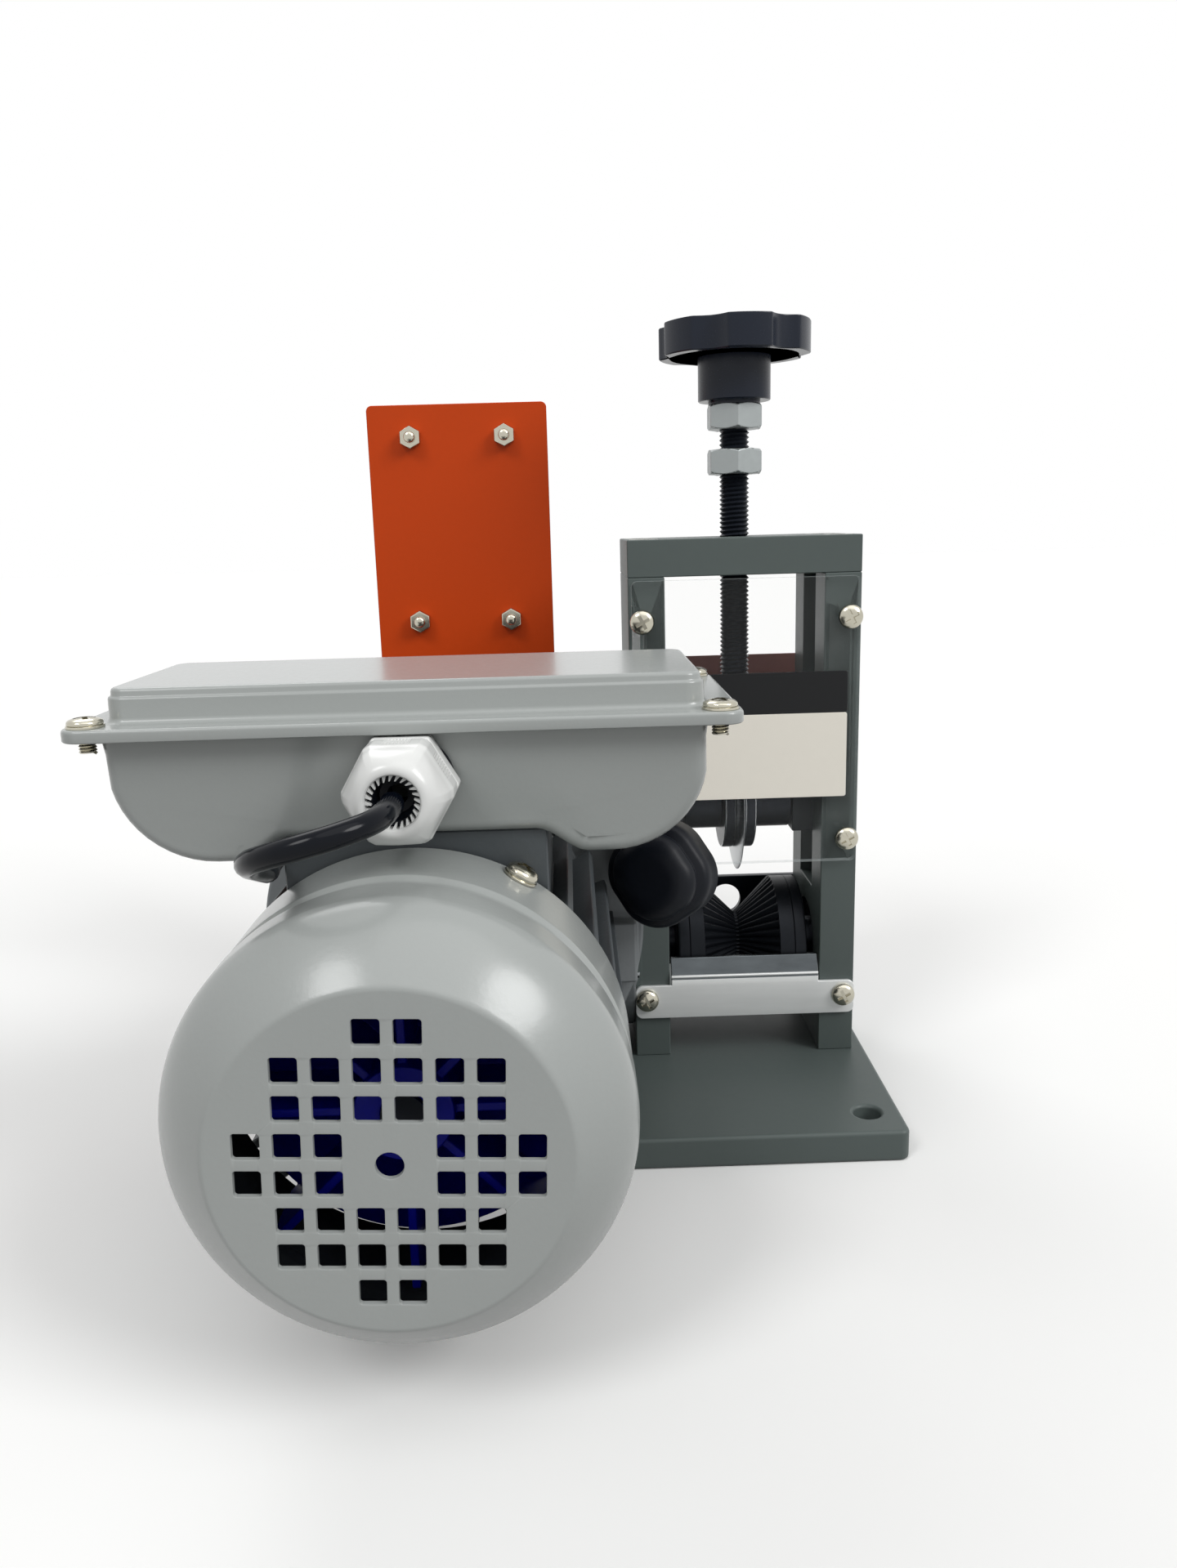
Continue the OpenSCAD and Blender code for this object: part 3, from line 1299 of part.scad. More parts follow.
module worm_wheel() {
    count = 8 * wheel_teeth;
    color("goldenrod") difference() {
        union() {
            push_x(motor_x - wheel_t / 2, motor_x + wheel_t / 2) translate([0, roller_z]) polygon([
                for (i = [0:count - 1]) let (a = 360 * i / count)
                (wheel_r - tooth_wave * cos(wheel_teeth * (a - 90))) * [cos(a), sin(a)]
            ]);
            rod_x(motor_x - wheel_hub_l / 2, motor_x + wheel_hub_l / 2, 0, roller_z, wheel_hub_d);
        }
        rod_x(motor_x - wheel_hub_l, motor_x + wheel_hub_l, 0, roller_z, roller_shaft_d + 2 * fit);
    }
}

module rotor_core() {
    color("slategray") ring_y(stator_rear, stator_front, motor_x, motor_z, stator_bore_d - 2 * air_gap,
        core_shaft_d + 2 * fit);
}

module motor_shaft() {
    color("silver") translate([motor_x, 0, motor_z]) rotate([-90, 0, 0]) rotate_extrude() polygon([
        [0, fan_rear - 1], [fan_shaft_d / 2, fan_rear - 1], [fan_shaft_d / 2, rear_bearing_y - 1.5],
        [rear_journal_d / 2, rear_bearing_y - 1.5],
        [rear_journal_d / 2, rear_bearing_y + rear_bearing_w + 0.5],
        [core_shaft_d / 2, rear_bearing_y + rear_bearing_w + 0.5], [core_shaft_d / 2, front_bearing_y - 0.5],
        [front_journal_d / 2, front_bearing_y - 0.5],
        [front_journal_d / 2, front_bearing_y + front_bearing_w + 1],
        [shaft_end_d / 2, front_bearing_y + front_bearing_w + 1], [shaft_end_d / 2, shaft_end_y],
        [0, shaft_end_y]
    ]);
}

module cooling_fan() {
    color("royalblue") translate([motor_x, 0, motor_z]) rotate([-90, 0, 0]) difference() {
        union() {
            translate([0, 0, fan_rear]) cylinder(d = fan_hub_d, h = fan_front - fan_rear);
            translate([0, 0, fan_front - 2]) cylinder(d = fan_d - 6, h = 2);
            for (i = [0:fan_blades - 1]) rotate([0, 0, 360 * i / fan_blades])
                translate([fan_hub_d / 2 - 2, -1, fan_rear + 2])
                    cube([(fan_d - fan_hub_d) / 2 + 2, 2, fan_front - fan_rear - 3]);
        }
        translate([0, 0, fan_rear - 1]) cylinder(d = fan_shaft_d + 2 * fit, h = fan_front - fan_rear + 2);
    }
}

// Worm with a wave-shaped thread, hollow at the motor's end for the shaft
module worm() {
    turns = worm_len / worm_lead;
    color("slategray") difference() {
        union() {
            rod_y(worm_in_y, input_bearing_y + bearing_w + 1, motor_x, motor_z, input_journal_d);
            rod_y(input_bearing_y, far_bearing_y + far_bearing_w, motor_x, motor_z, far_journal_d);
            translate([motor_x, -worm_len / 2, motor_z]) rotate([-90, 0, 0])
                linear_extrude(worm_len, twist = -360 * turns, slices = ceil(10 * turns), $fn = 14)
                    rotate(90 - 180 * turns) translate([tooth_wave, 0]) circle(worm_r, $fn = 14);
        }
        rod_y(worm_in_y - 1, shaft_end_y + 1, motor_x, motor_z, shaft_end_d + 2 * fit);
    }
}

base_plate();
left_side_plate();
right_side_plate();
top_crossbar();
frame_bolts();
outfeed_guard();
infeed_guard();
pan_screws();
infeed_plate();
outfeed_tray();
roller_bearings();
gearbox_housing();
gearbox_covers();
output_flange();
gearbox_screws();
gearbox_bearings();
foot_bolts();
motor_flange();
flange_bolts();
motor_body();
rear_end_shield();
stator_core();
stator_windings();
motor_bearings();
fan_cover();
fan_cover_screws();
terminal_box();
box_lid();
lid_screws();
capacitors();
gland_body();
gland_nut();
gland_seal();
switch_plate();
switch_screws();
switch_housing();
switch_cable();
cord_lead();
cord_coil();
coil_tie();
cord_tail();
plug_body();
plug_pins();
start_button();
stop_button();
blade_carriage();
blade_bearings();
feed_screw();
star_knob();
screw_nuts();
blade_shaft();
blade_disc();
blade_flanges();
feed_roller();
roller_shaft();
worm_wheel();
rotor_core();
motor_shaft();
cooling_fan();
worm();
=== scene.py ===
"""Looks of a bench wire stripper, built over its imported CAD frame."""
import json
import math

import bmesh
import bpy
from mathutils import Matrix, Vector


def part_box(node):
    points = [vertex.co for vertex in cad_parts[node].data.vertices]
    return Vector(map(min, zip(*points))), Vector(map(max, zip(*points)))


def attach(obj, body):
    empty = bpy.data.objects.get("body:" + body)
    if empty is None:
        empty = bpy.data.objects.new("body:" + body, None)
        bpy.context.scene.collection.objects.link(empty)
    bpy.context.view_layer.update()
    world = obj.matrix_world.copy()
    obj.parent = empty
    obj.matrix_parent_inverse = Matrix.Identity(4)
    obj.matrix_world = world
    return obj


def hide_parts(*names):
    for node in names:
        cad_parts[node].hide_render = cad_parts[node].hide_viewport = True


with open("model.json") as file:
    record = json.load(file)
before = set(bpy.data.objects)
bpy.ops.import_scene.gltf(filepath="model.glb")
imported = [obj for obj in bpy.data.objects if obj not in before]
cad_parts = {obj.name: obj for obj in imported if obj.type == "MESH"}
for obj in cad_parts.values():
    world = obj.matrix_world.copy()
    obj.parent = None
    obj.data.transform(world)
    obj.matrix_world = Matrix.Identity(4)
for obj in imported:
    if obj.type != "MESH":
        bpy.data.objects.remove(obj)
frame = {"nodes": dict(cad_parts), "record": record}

bl_info = {
    "name": "Bench wire stripper",
    "version": (1, 0, 0),
    "blender": (4, 5, 0),
    "location": "3D View > Sidebar > Wire stripper",
    "description": "Dresses the wire stripper's CAD frame and sets its stage",
    "category": "Object",
}

MM = 0.001
NODES = frame["nodes"]
RECORD = frame["record"]
BODY_OF = {n: body for body, names in RECORD["behaviour"]["bodies"].items() for n in names}
X, Y, Z = Vector((1, 0, 0)), Vector((0, 1, 0)), Vector((0, 0, 1))
# Corners of a CAD mesh that lie closer than this, in metres, are one corner
MERGE = 2e-6
# How far a finish's roughness swings either way, and how rough a clear coat is
GLOSS_SWING = 0.15
COAT_ROUGHNESS = 0.12


# Helpers: colour and materials


def linear(code):
    """Linear RGB of an sRGB hex colour."""
    values = [int(code[i:i + 2], 16) / 255 for i in (1, 3, 5)]
    return tuple(v / 12.92 if v <= 0.04045 else ((v + 0.055) / 1.055) ** 2.4 for v in values)


def add(tree, kind, inputs=None, **settings):
    """A new node with its settings, whose sockets take the given values or links."""
    node = tree.nodes.new(kind)
    for key, value in settings.items():
        setattr(node, key, value)
    for key, value in (inputs or {}).items():
        if isinstance(value, bpy.types.NodeSocket):
            tree.links.new(value, node.inputs[key])
        else:
            node.inputs[key].default_value = value
    return node


def finish(
    name, colour, rough, metal=0.0, specular=0.5, grain=2.0, depth=0.0, tint=0.0, stretch=(1, 1, 1), coat=0.0,
    alpha=1.0,
):
    """A procedural surface: grain is the pattern's size and depth its relief, both in millimetres."""
    material = bpy.data.materials.get(name)
    if material:
        return material
    material = bpy.data.materials.new(name)
    material.use_nodes = True
    tree = material.node_tree
    tree.nodes.clear()
    colour = tuple(colour)[:3]
    place = add(tree, "ShaderNodeTexCoord").outputs["Object"]
    mapped = add(tree, "ShaderNodeMapping", {"Vector": place, "Scale": stretch}).outputs[0]
    noise = add(tree, "ShaderNodeTexNoise", {
        "Vector": mapped, "Scale": 1 / (grain * MM), "Detail": 3, "Roughness": 0.55,
    }).outputs[0]
    low = [c * (1 - tint) for c in colour]
    high = [min(1, c * (1 + tint)) for c in colour]
    mix = add(tree, "ShaderNodeMixRGB", {"Fac": noise, "Color1": (*low, 1), "Color2": (*high, 1)})
    gloss = add(tree, "ShaderNodeMapRange", {
        "Value": noise, "To Min": rough * (1 - GLOSS_SWING), "To Max": rough * (1 + GLOSS_SWING),
    })
    shader = add(tree, "ShaderNodeBsdfPrincipled", {
        "Base Color": mix.outputs[0], "Metallic": metal, "Roughness": gloss.outputs[0],
        "Specular IOR Level": specular, "Coat Weight": coat, "Coat Roughness": COAT_ROUGHNESS, "Alpha": alpha,
    })
    add(tree, "ShaderNodeOutputMaterial", {"Surface": shader.outputs[0]})
    if depth:
        bump = add(tree, "ShaderNodeBump", {"Strength": 1, "Distance": depth * MM, "Height": noise})
        tree.links.new(bump.outputs[0], shader.inputs["Normal"])
    if alpha < 1:
        material.surface_render_method = "BLENDED"
    return material


# Helpers: meshes


def frame_at(origin, axis, up=Z):
    """A matrix whose Z runs along axis, with its origin at a point."""
    z = Vector(axis).normalized()
    x = Vector(up).cross(z)
    if x.length < 1e-6:
        x = X.copy()
    x.normalize()
    matrix = Matrix((x, z.cross(x), z)).transposed().to_4x4()
    matrix.translation = origin
    return matrix


def chain(bm, points, closed=False):
    """Vertices and edges along a list of points in millimetres."""
    verts = [bm.verts.new(Vector(p) * MM) for p in points]
    pairs = list(zip(verts, verts[1:]))
    if closed:
        pairs.append((verts[-1], verts[0]))
    return verts + [bm.edges.new(pair) for pair in pairs]


def turned(profile, count=48, closed=False):
    """Spins a profile of (radius, height) about Z; a closed profile makes a ring."""
    bm = bmesh.new()
    outline = chain(bm, [(r, 0, h) for r, h in profile], closed)
    bmesh.ops.spin(
        bm, geom=outline, cent=(0, 0, 0), axis=Z, dvec=(0, 0, 0), angle=2 * math.pi, steps=count, use_merge=True
    )
    bmesh.ops.remove_doubles(bm, verts=bm.verts, dist=1e-7)
    return bm


def threaded(radius, length, pitch, depth, count=20):
    """A rod along Z with a helical thread: one tooth's outline spun up the axis."""
    turns = round(length / pitch) - 1
    pitch = length / (turns + 1)
    bm = bmesh.new()
    tooth = chain(bm, [(radius - depth, 0, 0), (radius, 0, pitch / 2), (radius - depth, 0, pitch)])
    bmesh.ops.spin(
        bm, geom=tooth, cent=(0, 0, 0), axis=Z, dvec=(0, 0, pitch / count * MM), angle=2 * math.pi * turns,
        steps=count * turns, use_merge=False,
    )
    bmesh.ops.remove_doubles(bm, verts=bm.verts, dist=pitch * 0.02 * MM)
    bmesh.ops.holes_fill(bm, edges=[e for e in bm.edges if e.is_boundary], sides=0)
    return bm


def circle_loop(bm, radius, height, count=48, wave=None):
    """An edge loop about Z; wave gives a change of radius at each angle."""
    made = bmesh.ops.create_circle(
        bm, radius=radius * MM, segments=count, matrix=Matrix.Translation((0, 0, height * MM))
    )["verts"]
    for v in made:
        if wave:
            v.co.xy *= 1 + wave(math.atan2(v.co.y, v.co.x)) / radius
    return list({e for v in made for e in v.link_edges})


def rounded_loop(bm, width, length, radius, height, count=32, middle=(0, 0)):
    """A rectangle with round corners as an edge loop: a circle whose quarters move apart."""
    turn = Matrix.Rotation(math.pi / count, 4, "Z")
    made = bmesh.ops.create_circle(bm, radius=radius * MM, segments=count, matrix=turn)["verts"]
    for v in made:
        v.co.x += (math.copysign(width / 2 - radius, v.co.x) + middle[0]) * MM
        v.co.y += (math.copysign(length / 2 - radius, v.co.y) + middle[1]) * MM
        v.co.z = height * MM
    return list({e for v in made for e in v.link_edges})


def bridge(bm, loops, caps=(True, True)):
    """Skins edge loops in their order and closes the ends asked for."""
    for a, b in zip(loops, loops[1:]):
        bmesh.ops.bridge_loops(bm, edges=a + b)
    for close, loop in zip(caps, (loops[0], loops[-1])):
        if close:
            bmesh.ops.edgeloop_fill(bm, edges=loop)


def add_box(bm, low, high):
    """A box between two corners."""
    low, high = Vector(low), Vector(high)
    place = Matrix.Translation((low + high) / 2) @ Matrix.Diagonal((*(high - low), 1))
    bmesh.ops.create_cube(bm, size=1, matrix=place)


def join(bm, part, *places):
    """Adds a shape to a bmesh at each place, and frees the shape."""
    mesh = bpy.data.meshes.new("part")
    part.to_mesh(mesh)
    part.free()
    for place in places or (Matrix(),):
        moved = mesh.copy()
        moved.transform(place)
        bm.from_mesh(moved)
        bpy.data.meshes.remove(moved)
    bpy.data.meshes.remove(mesh)


def placed(shape, *places):
    """A new bmesh with a shape at each place."""
    bm = bmesh.new()
    join(bm, shape, *places)
    return bm


def piece(name, bm, node, material, replaces=(), smooth=35, turned_out=False):
    """Turns a bmesh into an object that rides with a CAD node's body."""
    if not turned_out:
        bmesh.ops.recalc_face_normals(bm, faces=bm.faces)
    mesh = bpy.data.meshes.new(name)
    bm.to_mesh(mesh)
    bm.free()
    mesh.polygons.foreach_set("use_smooth", [True] * len(mesh.polygons))
    mesh.set_sharp_from_angle(angle=math.radians(smooth))
    mesh.materials.append(material)
    obj = bpy.data.objects.new(name, mesh)
    bpy.context.scene.collection.objects.link(obj)
    obj.modifiers.new("normals", "WEIGHTED_NORMAL").keep_sharp = True
    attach(obj, BODY_OF[node])
    if replaces:
        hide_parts(*replaces)
    return obj


def second_finish(obj, material, chosen):
    """Gives the faces that are chosen a second finish."""
    obj.data.materials.append(material)
    for face in obj.data.polygons:
        face.material_index = 1 if chosen(face) else 0


def ease(bm, edges, width, segments, clamp=False):
    """Rounds edges to a width in millimetres."""
    bmesh.ops.bevel(
        bm, geom=edges, offset=width * MM, offset_type="OFFSET", segments=segments, profile=0.5, affect="EDGES",
        clamp_overlap=clamp, material=-1,
    )


def soften(node, width, material, segments=2, limit=30, least=0):
    """A copy of a CAD node that replaces it, eased at edges that turn past a limit and are long enough."""
    bm = bmesh.new()
    bm.from_mesh(NODES[node].data)
    bmesh.ops.remove_doubles(bm, verts=bm.verts, dist=MERGE)
    bmesh.ops.dissolve_limit(bm, angle_limit=math.radians(0.5), verts=bm.verts, edges=bm.edges)
    turn = math.radians(limit)
    sharp = [e for e in bm.edges if e.calc_face_angle(0) > turn and e.calc_length() > least * MM]
    ease(bm, sharp, width, segments)
    return piece(f"{node}_shape", bm, node, material, (node,))


def dress(material, *names):
    """Gives CAD nodes that stay a finish of their own."""
    for name in names:
        for slot in NODES[name].material_slots:
            slot.material = material


def middle(node):
    """The middle of a node's box."""
    low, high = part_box(node)
    return (low + high) / 2


def extent(node):
    """A node's size along X, Y and Z in millimetres."""
    low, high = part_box(node)
    return (high - low) / MM


def underside(node):
    """The middle of a node's underside."""
    place = middle(node)
    place.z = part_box(node)[0].z
    return place


def facing(node, y, way):
    """A place on the line along Y through a node's middle, at a given Y and looking a given way."""
    place = middle(node)
    place.y = y
    return frame_at(place, way)


def solids(node):
    """The lowest and highest corners of each separate solid of a node."""
    bm = bmesh.new()
    bm.from_mesh(NODES[node].data)
    bmesh.ops.remove_doubles(bm, verts=bm.verts, dist=MERGE)
    left = set(bm.verts)
    out = []
    while left:
        stack = [left.pop()]
        group = []
        while stack:
            v = stack.pop()
            group.append(v.co.copy())
            near = {e.other_vert(v) for e in v.link_edges} & left
            left -= near
            stack += near
        out.append([Vector([pick(p[i] for p in group) for i in range(3)]) for pick in (min, max)])
    bm.free()
    return sorted(out, key=lambda box: tuple(box[0]))


# Settings


def colour_setting(label, code, words):
    return bpy.props.FloatVectorProperty(
        name=label, description=words, default=linear(code), subtype="COLOR", size=3, min=0, max=1
    )


def length_setting(label, millimetres, words):
    return bpy.props.FloatProperty(
        name=label, description=words, default=millimetres * MM, unit="LENGTH", subtype="DISTANCE", min=0,
        precision=4,
    )


def angle_setting(label, degrees, words):
    return bpy.props.FloatProperty(
        name=label, description=words, default=math.radians(degrees), subtype="ANGLE"
    )


class StripperColours(bpy.types.PropertyGroup):
    """Colours of the wire stripper's finishes."""

    frame_paint: colour_setting("Frame paint", "#545d5b", "Enamel on the base plate and the frame")
    powder: colour_setting("Powder coat", "#a3a7a5", "Powder coat on the fan cover and the terminal box")
    # Darker than the motor's own grey: painted shade for the fins in the gap under the terminal box
    motor_paint: colour_setting("Motor paint", "#4b5053", "Paint on the motor's fins")
    casting: colour_setting("Casting", "#7d8183", "Cast aluminium of the gearbox and the flanges")
    switch_plate: colour_setting("Switch plate", "#cf460c", "Paint on the upright switch plate")
    fan: colour_setting("Fan", "#0a12b4", "Plastic of the cooling fan")
    nylon: colour_setting("Nylon", "#e6e7e5", "Nylon of the cable gland")
    rubber: colour_setting("Rubber", "#0a0e16", "Cord, plug and gland seal")
    steel: colour_setting("Plated steel", "#bdb9aa", "Plated screws")
    label: colour_setting("Label", "#fbf6ea", "Blank plate on the outfeed guard")
    label_band: colour_setting("Label band", "#101113", "Dark band above the blank plate")
    # Pale pink rather than the band's own dark red: painted backlight through the thin vinyl, with the left-off
    # white lettering mixed in
    infeed_band: colour_setting("Infeed band", "#ffa198", "Coloured band of the infeed side's plate")


class StripperDetail(bpy.types.PropertyGroup):
    """Sizes of the details that Blender adds."""

    frame_edge: length_setting("Frame edge", 0.4, "Rounding of the painted plates' edges")
    thread_pitch: length_setting("Thread pitch", 1.5, "Pitch of the feed screw's thread")
    tooth_depth: length_setting("Tooth depth", 1.3, "Depth of the roller's teeth")
    teeth: bpy.props.IntProperty(name="Teeth", description="Teeth round the roller", default=40, min=8, max=80)
    recess: length_setting("Screw recess", 1.1, "Depth of the cross recess in a screw's head")


class StripperStage(bpy.types.PropertyGroup):
    """Camera and light."""

    position: bpy.props.FloatVectorProperty(
        name="Camera", description="Where the camera stands", default=(-0.00608, -0.40932, 0.19299),
        subtype="TRANSLATION", unit="LENGTH", size=3, precision=5,
    )
    yaw: angle_setting("Yaw", 0.704, "Turn to the right")
    pitch: angle_setting("Pitch", 12.392, "Tilt downwards")
    roll: angle_setting("Roll", -1.597, "Turn about the view")
    lens: bpy.props.FloatProperty(
        name="Lens", description="Focal length for a 36 mm tall frame", default=27.01, min=5, max=200
    )
    sky: bpy.props.FloatProperty(
        name="Sky", description="Light from all round on the object", default=0.35, min=0, max=1
    )


def painted(setting, name, rough, **more):
    """A finish whose colour comes from the colour settings."""
    return finish(name, getattr(bpy.context.scene.stripper_colours, setting), rough, **more)


# Finishes


def enamel():
    # Stoved enamel on machined steel plate: an even satin grey with a faint, wide ripple in its shine
    return painted("frame_paint", "dark grey enamel", 0.45, specular=0.35, grain=2.2, depth=0.012, tint=0.03)


def powder():
    # Powder coat melted onto pressed sheet: a pebbled skin of 1.1 mm that breaks up the lamps' highlights
    return painted("powder", "light grey powder coat", 0.25, grain=1.1, depth=0.026, tint=0.015, coat=0.15)


def plated():
    # Nickel-plated steel: warm and bright, with dark and light sides that follow each head's dome
    return painted("steel", "nickel-plated steel", 0.2, metal=1, grain=3, depth=0.01, tint=0.06)


def rubber():
    # Moulded rubber: deep black with a soft, wide sheen
    return painted("rubber", "moulded black rubber", 0.42, specular=0.2, grain=1.2, depth=0.01, tint=0.1)


def sheath():
    # Extruded PVC sheath: black with one narrow bright line along the cord
    return painted("rubber", "glossy black cord sheath", 0.15, specular=0.15, grain=6, depth=0.01, tint=0.1)


def cast():
    # Sand-cast aluminium under thin paint: a dull grey with a coarse grain of 1.4 mm
    return painted("casting", "cast aluminium", 0.5, metal=0.3, specular=0.35, grain=1.4, depth=0.05, tint=0.06)


def black_plastic():
    # Phenolic moulding: blue-black and nearly matt, with pale lines only along its edges
    return finish(
        "black moulded phenolic", linear("#161d2b"), 0.26, specular=0.26, grain=0.6, depth=0.008, tint=0.08
    )


def black_oxide():
    # Oil-blackened steel: dark, with a faint metal gleam where it turns to the light
    return finish(
        "black oxide steel", linear("#20242c"), 0.34, metal=0.35, specular=0.25, grain=1.5, depth=0.012,
        tint=0.12,
    )


def ground_steel():
    # Ground tool steel: silver, with grinding lines stretched along the cut
    return finish(
        "ground steel", linear("#a9acae"), 0.26, metal=1, grain=2, depth=0.006, tint=0.1, stretch=(1, 6, 6)
    )


def zinc():
    # Zinc-plated steel: a cool, flat grey that blurs what it mirrors
    return finish("zinc-plated steel", linear("#9da2a2"), 0.42, metal=0.75, grain=2, depth=0.01, tint=0.05)


def nylon():
    # Injection-moulded nylon: milky white with soft round highlights
    return painted("nylon", "white nylon", 0.22, grain=3, depth=0.006, tint=0.01)


# Stage and cord


def eye_rays(tree):
    """1 for rays from the camera, from gloss and through glass, and 0 for light that bounces."""
    path = add(tree, "ShaderNodeLightPath").outputs
    seen = {0: path["Is Camera Ray"], 1: path["Is Glossy Ray"]}
    shown = add(tree, "ShaderNodeMath", seen, operation="MAXIMUM").outputs[0]
    through = {0: shown, 1: path["Is Transmission Ray"]}
    return add(tree, "ShaderNodeMath", through, operation="MAXIMUM").outputs[0]


# Each lamp's name, the way it stands from the object, its strength and its spread in degrees
LAMPS = (
    ("left key", (-0.55, -0.65, 0.9), 0.75, 20), ("right key", (0.8, -0.5, 0.65), 1.4, 25),
    ("overhead", (0.3, -0.5, 1.1), 0.55, 50), ("back fill", (-0.3, 0.6, 0.75), 0.5, 30),
)
# Height of the camera's frame in millimetres, and how far the floor reaches in metres
FRAME_HEIGHT = 36
FLOOR_REACH = 6


class STRIPPER_OT_stage(bpy.types.Operator):
    """Set the camera, the floor and level lights"""

    bl_idname = "stripper.stage"
    bl_label = "Stage"

    def execute(self, context):
        stage = context.scene.stripper_stage
        self.stand_camera(context, stage)
        context.scene.view_settings.view_transform = "Standard"
        world = bpy.data.worlds.new("level light")
        world.use_nodes = True
        tree = world.node_tree
        tree.nodes.clear()
        sky = add(tree, "ShaderNodeBackground", {"Color": (1, 1, 1, 1), "Strength": stage.sky})
        white = add(tree, "ShaderNodeBackground", {"Color": (1, 1, 1, 1), "Strength": 1})
        mix = add(tree, "ShaderNodeMixShader", {0: eye_rays(tree), 1: sky.outputs[0], 2: white.outputs[0]})
        add(tree, "ShaderNodeOutputWorld", {"Surface": mix.outputs[0]})
        context.scene.world = world
        self.lay_floor(context)
        for name, place, power, spread in LAMPS:
            lamp = bpy.data.lights.new(name, "SUN")
            lamp.energy = power
            lamp.angle = math.radians(spread)
            light = bpy.data.objects.new(name, lamp)
            light.location = place
            light.rotation_euler = (-Vector(place)).to_track_quat("-Z", "Y").to_euler()
            context.scene.collection.objects.link(light)
        return {"FINISHED"}

    def stand_camera(self, context, stage):
        forward = Vector((
            math.sin(stage.yaw) * math.cos(stage.pitch), math.cos(stage.yaw) * math.cos(stage.pitch),
            -math.sin(stage.pitch),
        ))
        right = Vector((math.cos(stage.yaw), -math.sin(stage.yaw), 0))
        level = Matrix((right, right.cross(forward), -forward)).transposed().to_4x4()
        data = bpy.data.cameras.new("camera")
        data.lens = stage.lens
        data.sensor_width = FRAME_HEIGHT
        data.clip_start = 0.01
        camera = bpy.data.objects.new("camera", data)
        context.scene.collection.objects.link(camera)
        camera.matrix_world = Matrix.Translation(stage.position) @ level @ Matrix.Rotation(stage.roll, 4, "Z")
        context.scene.camera = camera

    def lay_floor(self, context):
        # Matt paper sweep: white to the eye, and grey in what it throws back so that undersides stay dark
        material = bpy.data.materials.new("white paper sweep")
        material.use_nodes = True
        tree = material.node_tree
        tree.nodes.clear()
        grey, white = (*linear("#8a8a8a"), 1), (*linear("#fbfbfa"), 1)
        shade = add(tree, "ShaderNodeMixRGB", {"Fac": eye_rays(tree), "Color1": grey, "Color2": white})
        paper = add(tree, "ShaderNodeBsdfDiffuse", {"Color": shade.outputs[0]})
        add(tree, "ShaderNodeOutputMaterial", {"Surface": paper.outputs[0]})
        bm = bmesh.new()
        bmesh.ops.create_grid(bm, x_segments=1, y_segments=1, size=FLOOR_REACH)
        mesh = bpy.data.meshes.new("floor")
        bm.to_mesh(mesh)
        bm.free()
        mesh.materials.append(material)
        floor = bpy.data.objects.new("floor", mesh)
        context.scene.collection.objects.link(floor)


LEAD = [
    (-44.2, -170, 137.5), (-44.2, -175, 137.5), (-46, -183, 137), (-51.3, -188.5, 136), (-58.7, -190.5, 134.3),
    (-66, -188.5, 132), (-71.3, -183, 129.3), (-73.3, -176, 126.6), (-73.7, -168, 123.6), (-74.5, -160, 120.8),
    (-76, -152, 118.5), (-77.8, -144, 117), (-79.3, -134, 115.8), (-80.4, -122, 114.8), (-81.3, -109, 114.2),
    (-82, -95, 114.6), (-82.5, -80, 116), (-83, -64, 118.2), (-83, -47, 119.2), (-83.5, -33, 117.5),
    (-84, -20, 112), (-84.5, -9, 103.5), (-85, 0, 92.5), (-85.5, 8, 80), (-86, 15, 67), (-86.5, 22, 54),
    (-86, 29, 41.5), (-83.5, 38, 30), (-79.5, 48, 20.5), (-75.5, 59, 15), (-72.5, 70, 13.2), (-71.5, 81, 13),
    (-72, 91, 11.2), (-74, 101, 8), (-76.5, 111, 5.2), (-78.5, 122.8, 3.8), (-78.5, 126.8, 3.8),
]
TAIL = [
    (-0.78, -56.63, 120.81), (-3.38, -54.98, 124.76), (-7.3, -52, 127.5), (-9.2, -45, 130), (-10, -37, 130.6),
    (-10.3, -28, 129), (-10, -18, 125), (-9.5, -8, 118.5), (-9, 2, 110.5), (-8, 12, 101), (-7, 21, 91.5),
    (-6, 31, 80.5), (-5, 41, 68.5), (-4.5, 51, 55.5), (-4.5, 61, 42.5), (-5, 71, 31), (-6, 81, 21.5),
    (-8, 92, 14.5), (-10, 103, 11), (-11.2, 113, 9.8), (-11.5, 122.8, 9.6), (-11.5, 126.8, 9.6),
]
CORD = {
    "diameter": 5.2, "coil": (-45, 132), "turns": 4.5, "steps": 24, "pitch": 5.8, "radius": 33.5, "low": 3.8,
}


def coil_points():
    """The coil's turns: in over its first layer and out over its second."""
    out = []
    turns, steps = CORD["turns"], CORD["steps"]
    for i in range(int(turns * steps) + 1):
        turn = i / steps
        a = math.pi - 2 * math.pi * turn
        r = CORD["radius"] - CORD["pitch"] * min(turn, turns - turn)
        rise = CORD["pitch"] * min(1, max(0, (turn - turns / 2) * 2 + 0.5))
        out.append((CORD["coil"][0] + r * math.cos(a), CORD["coil"][1] + r * math.sin(a), CORD["low"] + rise))
    return out


PLUG = {
    "place": (19.5, -69.5, 90), "axis": (0.36, 0.92, -0.16), "up": (-0.52, 0.33, 0.79), "neck": 12,
    "neck_r": 5.6, "ribs": 7, "rib_foot": 16.5, "rib_step": 3.1, "rib_r": 5.5, "rib_taper": 0.28, "groove": 0.6,
    "end": 39,
}
